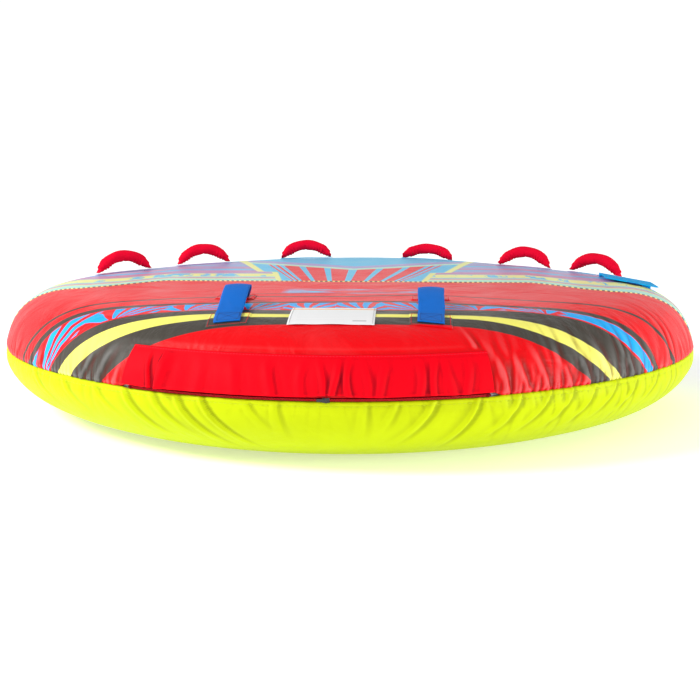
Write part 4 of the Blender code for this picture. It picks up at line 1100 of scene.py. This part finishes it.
def sewBoxes(side, rearX, frontX):
    # box and cross stitches through both sewn ends
    half, deep = straps["width"] / 2 - 0.005, straps["sewn"] - 0.009
    corners = np.array(((-half, 0), (half, 0), (half, deep), (-half, deep), (-half, 0), (half, deep),
                        (half, 0), (-half, deep)), dtype=float)
    places, ways = [], []
    for low, centre in ((straps["rear"] + 0.004, rearX), (straps["front"] - straps["sewn"] + 0.004, frontX)):
        path = corners + np.array((centre, low))
        for start, end in zip(path[:-1], path[1:]):
            count = max(2, int(np.hypot(*(end - start)) / 0.0045))
            flat = start + (end - start) * ((np.arange(count) + 0.5) / count)[:, None]
            later = flat + (end - start) * 1e-2
            places.append(deckPoint(*flat.T, 0.0066))
            ways.append(deckPoint(*later.T, 0.0066) - places[-1])
    place, ahead = np.concatenate(places), np.concatenate(ways)
    settle(stitchPiece(f"strapThread_{side}", place, ahead, outwardAt(place), finishes["blueThread"],
                       0.0034, 0.0006), "tube")


def strapPatches(side, rearX, frontX):
    for end, low, centre in (("rear", straps["rear"], rearX),
                             ("front", straps["front"] - straps["sewn"], frontX)):
        y = np.linspace(low - 0.01, low + straps["sewn"] + 0.01, 31)
        x = centre + np.linspace(-0.5, 0.5, 33) * straps["width"] * 1.6
        px, py = np.meshgrid(x, y)
        edge = np.maximum(ease((np.abs(px - centre) / straps["width"] / 0.8 - 0.94) / 0.06),
                          ease((np.abs(py - y.mean()) / (np.ptp(y) / 2) - 0.94) / 0.06))
        patch = deckShell(f"strapPatch_{side}_{end}", px, py, 0.0004, 0.0018 - 0.0009 * edge,
                          finishes["rear"], fields=onPrint(px, py))
        settle(patch, "tube", f"strap_patch_{side}_{end}")
        left, right, near, far = x[0] + 0.0035, x[-1] - 0.0035, y[0] + 0.0035, y[-1] - 0.0035
        corners = np.array(((left, near), (right, near), (right, far), (left, far), (left, near)))
        dense = np.concatenate([start + (stop - start) * np.linspace(0, 1, 60)[:, None]
                                for start, stop in zip(corners[:-1], corners[1:])])
        threadLine(f"patchThread_{side}_{end}", deckPoint(*dense.T, 0.0021), finishes["redThread"],
                   0.0042, 0.0034, 0.0006)


label = {"half": 0.082, "rear": -0.65, "front": -0.528, "base": 0.0014, "thick": 0.0006}


def labelFinish():
    # white coated fabric with an orange band, grey rules and a small grey mark box
    finish, shader = startFinish("labelFabric")
    x, y = apart(placed())[:2]
    rules = over(wave(y, 0.0105), 0.86, 0.04)
    area = times(inBand(x, -0.066, 0.066), inBand(y, -0.628, -0.556))
    box = times(inBand(x, 0.04, 0.066), inBand(y, -0.636, -0.629))
    colour = layered("white", (inBand(y, -0.5475, -0.5405), "orange"),
                     (times(times(rules, area), 0.16), "ruleGrey"), (times(box, 0.5), "boxGrey"))
    fill(shader, {"Base Color": colour, "Roughness": 0.45})
    bump(shader, (noise(placed(), 30.0, 4.0), 0.3, 0.003), (weave("UV", 0.0012), 0.3, 0.0002))
    return finish


def buildLabel():
    x = np.linspace(-label["half"], label["half"], 61)
    y = np.linspace(label["rear"], label["front"], 49)
    px, py = np.meshgrid(x, y)
    ripple = 0.0004 * (1.0 + np.sin(px * 90.0 + 1.0)) * bell((py - label["rear"]) / 0.02, 1.0)
    low = label["base"] + ripple
    piece = deckShell("careLabel", px, py, low, low + label["thick"], labelFinish())
    settle(piece, "tube", "warning_label")
    edge = label["half"] - 0.004
    for name, edge in (("labelThreadLeft", -edge), ("labelThreadRight", edge)):
        along = np.linspace(label["rear"] + 0.003, label["front"] - 0.003, 50)
        path = deckPoint(np.full_like(along, edge), along, 0.0026)
        threadLine(name, path, finishes["darkThread"], 0.0055, 0.0034, 0.0004)


buildStraps()
buildLabel()
print("straps and label ready")

# valve flap, its tab and hem, and the hole's binding
valveFlap = {"left": 0.603, "right": 0.728, "near": -0.012, "far": 0.095, "leftZ": 0.2865, "rightZ": 0.264,
             "thick": 0.0022, "corner": 0.016, "hemGap": 0.007, "hemWidth": 0.0075}


def flapHeight(x):
    slope = (valveFlap["rightZ"] - valveFlap["leftZ"]) / (valveFlap["right"] - valveFlap["left"])
    return valveFlap["leftZ"] + slope * (x - valveFlap["left"])


def flapShell(name, px, py, low, high, finish):
    return shellPiece(name, stacked(px, py, high), stacked(px, py, low), finishes[finish], stacked(px, py))


def buildValveFlap():
    # a padded flat flap with rounded near corners and a bound edge
    a, b = np.meshgrid(np.linspace(-1.0, 1.0, 61), np.linspace(-1.0, 1.0, 49))
    half = (valveFlap["right"] - valveFlap["left"]) / 2
    middleX = (valveFlap["right"] + valveFlap["left"]) / 2
    turned = 2 * valveFlap["corner"] / 0.107
    bend = np.clip((-b - (1.0 - turned)) / turned, 0.0, 1.0)
    sideIn = valveFlap["corner"] / half * (1.0 - np.sqrt(np.clip(1.0 - bend ** 2, 0.0, 1.0)))
    px = middleX + half * a * (1.0 - sideIn)
    py = valveFlap["near"] + (valveFlap["far"] - valveFlap["near"]) * (b + 1.0) / 2
    rim = np.maximum(np.abs(a), -b)
    binding = 0.0006 * ease((rim - 0.86) / 0.03) - 0.001 * ease((rim - 0.97) / 0.03)
    puff = 0.0006 * (1.0 - a ** 4) * (1.0 - b ** 4)
    piece = flapShell("valveFlap", px, py, flapHeight(px) + 0.0002 + 0.0004 * ease((rim - 0.97) / 0.03),
                      flapHeight(px) + valveFlap["thick"] + puff + binding, "skyFlap")
    settle(piece, "valve_flap_body", "valve_flap")
    px, py = np.meshgrid(np.linspace(middleX - 0.014, middleX + 0.014, 15),
                         np.linspace(valveFlap["near"] - 0.01, valveFlap["near"] + 0.004, 9))
    fall = 0.0006 * ease((valveFlap["near"] - 0.006 - py) / 0.004)
    tab = flapShell("valveFlapTab", px, py, flapHeight(px) + 0.00005, flapHeight(px) + 0.0017 - fall, "navy")
    settle(tab, "valve_flap_body", "valve_flap_tab")
    start = valveFlap["far"] + valveFlap["hemGap"]
    px, py = np.meshgrid(np.linspace(valveFlap["left"], valveFlap["right"], 41),
                         np.linspace(start, start + valveFlap["hemWidth"], 13))
    ground = deckPoint(px, py, 0.0008)
    fall = ease((py - start) / np.ptp(py[:, 0]))
    level = (flapHeight(px) + valveFlap["thick"]) * (1.0 - fall) + (ground[..., 2] + 0.0012) * fall
    hem = shellPiece("valveFlapHem", stacked(px, py, level), ground, finishes["skyFlap"], stacked(px, py))
    settle(hem, "tube", "valve_flap_hem")


def holeBinding():
    # a rolled cloth edge round the valve's hole, following the deck's curve
    place = valveFrame()
    angle = circle(72)
    radius = valve["hole"] + 0.0006
    world = throughMatrix(stacked(radius * np.cos(angle), radius * np.sin(angle), 0.0), place)
    rings = carriedLoop(deckPoint(world[:, 0], world[:, 1], 0.0002), np.array(place)[:3, 2], 0.0013, 12)
    settle(tubePiece("valveHoleBinding", rings, finishes["navy"], closed=True), "tube")


buildValveFlap()
holeBinding()
print("valve ready")

# tow point
tow = {"eyeY": 0.782, "eyeZ": 0.122, "half": 0.034, "drop": 0.056, "rod": 0.0045, "corner": 0.014,
       "small": 0.006, "patchTurn": 5.4, "patchDeep": 0.05}


def buildRing():
    # a D ring: a straight bar, two sides and a flat foot with rounded corners, one round rod all the way
    half, drop, corner, small = tow["half"], tow["drop"], tow["corner"], tow["small"]
    mirror = np.array((-1.0, 1.0))
    turn = np.radians(np.linspace(0.0, -90.0, 10))
    right = stacked(half - corner + corner * np.cos(turn), -drop + corner + corner * np.sin(turn))
    bend = np.radians(np.linspace(180.0, 90.0, 6))
    topLeft = stacked(-half + small + small * np.cos(bend), -small + small * np.sin(bend))
    bar = stacked(np.linspace(-half + small, half - small, 14)[1:-1], 0.0)
    loop = np.concatenate([topLeft, bar, topLeft[::-1] * mirror, right, right[::-1] * mirror])
    path = stacked(loop[:, 0], 0.0, loop[:, 1]) + np.array((0.0, tow["eyeY"], tow["eyeZ"]))
    rings = carriedLoop(path, np.array((0.0, 1.0, 0.0)), tow["rod"], 16)
    settle(tubePiece("towRing", rings, finishes["steel"], closed=True), "tow_ring_body", "tow_ring")


def towPatch():
    # a webbing patch sewn flat over the nose behind the tow loop
    bearing = np.linspace(180.0 - tow["patchTurn"], 180.0 + tow["patchTurn"], 41)
    turn, level = np.meshgrid(bearing, np.linspace(1.0 - tow["patchDeep"] / baseSection["total"], 1.0, 19))
    piece = shellPiece("towPatch", coverPoint(baseSection, level, turn, 0.0016),
                       coverPoint(baseSection, level, turn, 0.0001), finishes["towCloth"],
                       stacked(turn * arcPerDegree, level * baseSection["total"]))
    settle(piece, "tube")


buildRing()
towPatch()
print("tow point ready")


# finishes of the CAD nodes that stay
kept = {"vinyl": ["bladder_top_sheet", "bladder_bottom_sheet", "valve_boot"],
        "tape": ["zipper_upper_half", "zipper_lower_half", "zipper_left_stop", "zipper_right_stop"],
        "black": ["zipper_slider", "zipper_pull"], "valveBlack": ["valve_seat", "valve_seal"],
        "valveRed": ["valve_cap"], "blackWeb": ["tow_webbing"], "foam": []}
kept["vinyl"] += [f"bladder_baffle_{k}" for k in range(1, 5)]
kept["foam"] += [f"handle_{k}_foam" for k in range(1, 7)]
kept["blackWeb"] += [f"handle_{k}_webbing" for k in range(1, 7)]
for finish, nodes in kept.items():
    for node in nodes:
        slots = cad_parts[node].data.materials
        slots.clear()
        slots.append(finishes[finish])

# floor, light and camera
studio = {"floor": 14.0, "band": 1.05, "overhead": 0.42, "nearGlow": 0.34, "farGlow": 0.62,
          "key": 110.0, "fill": 48.0, "lens": 1250.0 / 700.0 * 36.0,
          "eye": (0.15654, -2.94984, 0.6122), "tilt": 0.1685, "turn": 0.0522}


def addLight(name, place, aim, size, power):
    lamp = bpy.data.lights.new(name, "AREA")
    lamp.shape = "DISK"
    lamp.size = size
    lamp.energy = power
    item = bpy.data.objects.new(name, lamp)
    bpy.context.scene.collection.objects.link(item)
    item.location = place
    item.rotation_mode = "QUATERNION"
    item.rotation_quaternion = (Vector(aim) - Vector(place)).to_track_quat("-Z", "Y")


def buildStudio():
    px, py = np.meshgrid(*[np.linspace(-studio["floor"], studio["floor"], 9)] * 2)
    finish, shader = startFinish("paleFloor")
    parts = apart(placed())
    far = maths("SQRT", maths("ADD", times(parts[0], parts[0]), times(parts[1], parts[1])))
    near = studio["nearGlow"]
    glow = maths("MULTIPLY_ADD", over(far, 2.2, 1.3), studio["farGlow"] - near, near)
    fill(shader, {"Base Color": mixColour(times(noise(placed(), 3.0, 2.0), 0.02), "floor", "floorMark"),
                  "Roughness": 0.9, "Specular IOR Level": 0.1, "Emission Color": "light",
                  "Emission Strength": glow})
    newPiece("studioFloor", stacked(px, py, -0.0005), gridFaces(9, 9).tolist(), finish)
    world = bpy.data.worlds.new("studioWorld")
    bpy.context.scene.world = world
    world.use_nodes = True
    bench["tree"] = world.node_tree
    dim = over(apart(placed("Generated"))[2], 0.36, 0.14)
    overhead = (*(studio["overhead"],) * 3, 1.0)
    fill(world.node_tree.nodes["Background"], {"Color": mixColour(dim, "light", overhead),
                                               "Strength": studio["band"]})
    addLight("keyLight", (-2.9, -1.6, 2.2), (0.1, -0.3, 0.15), 1.1, studio["key"])
    addLight("fillLight", (3.2, -1.5, 0.5), (0.2, -0.4, 0.12), 0.8, studio["fill"])
    lens = bpy.data.cameras.new("camera")
    lens.sensor_width = 36.0
    lens.lens = studio["lens"]
    camera = bpy.data.objects.new("camera", lens)
    bpy.context.scene.collection.objects.link(camera)
    camera.location = studio["eye"]
    camera.rotation_euler = (math.pi / 2 - studio["tilt"], 0.0, studio["turn"])
    bpy.context.scene.camera = camera


buildStudio()
print("studio ready")
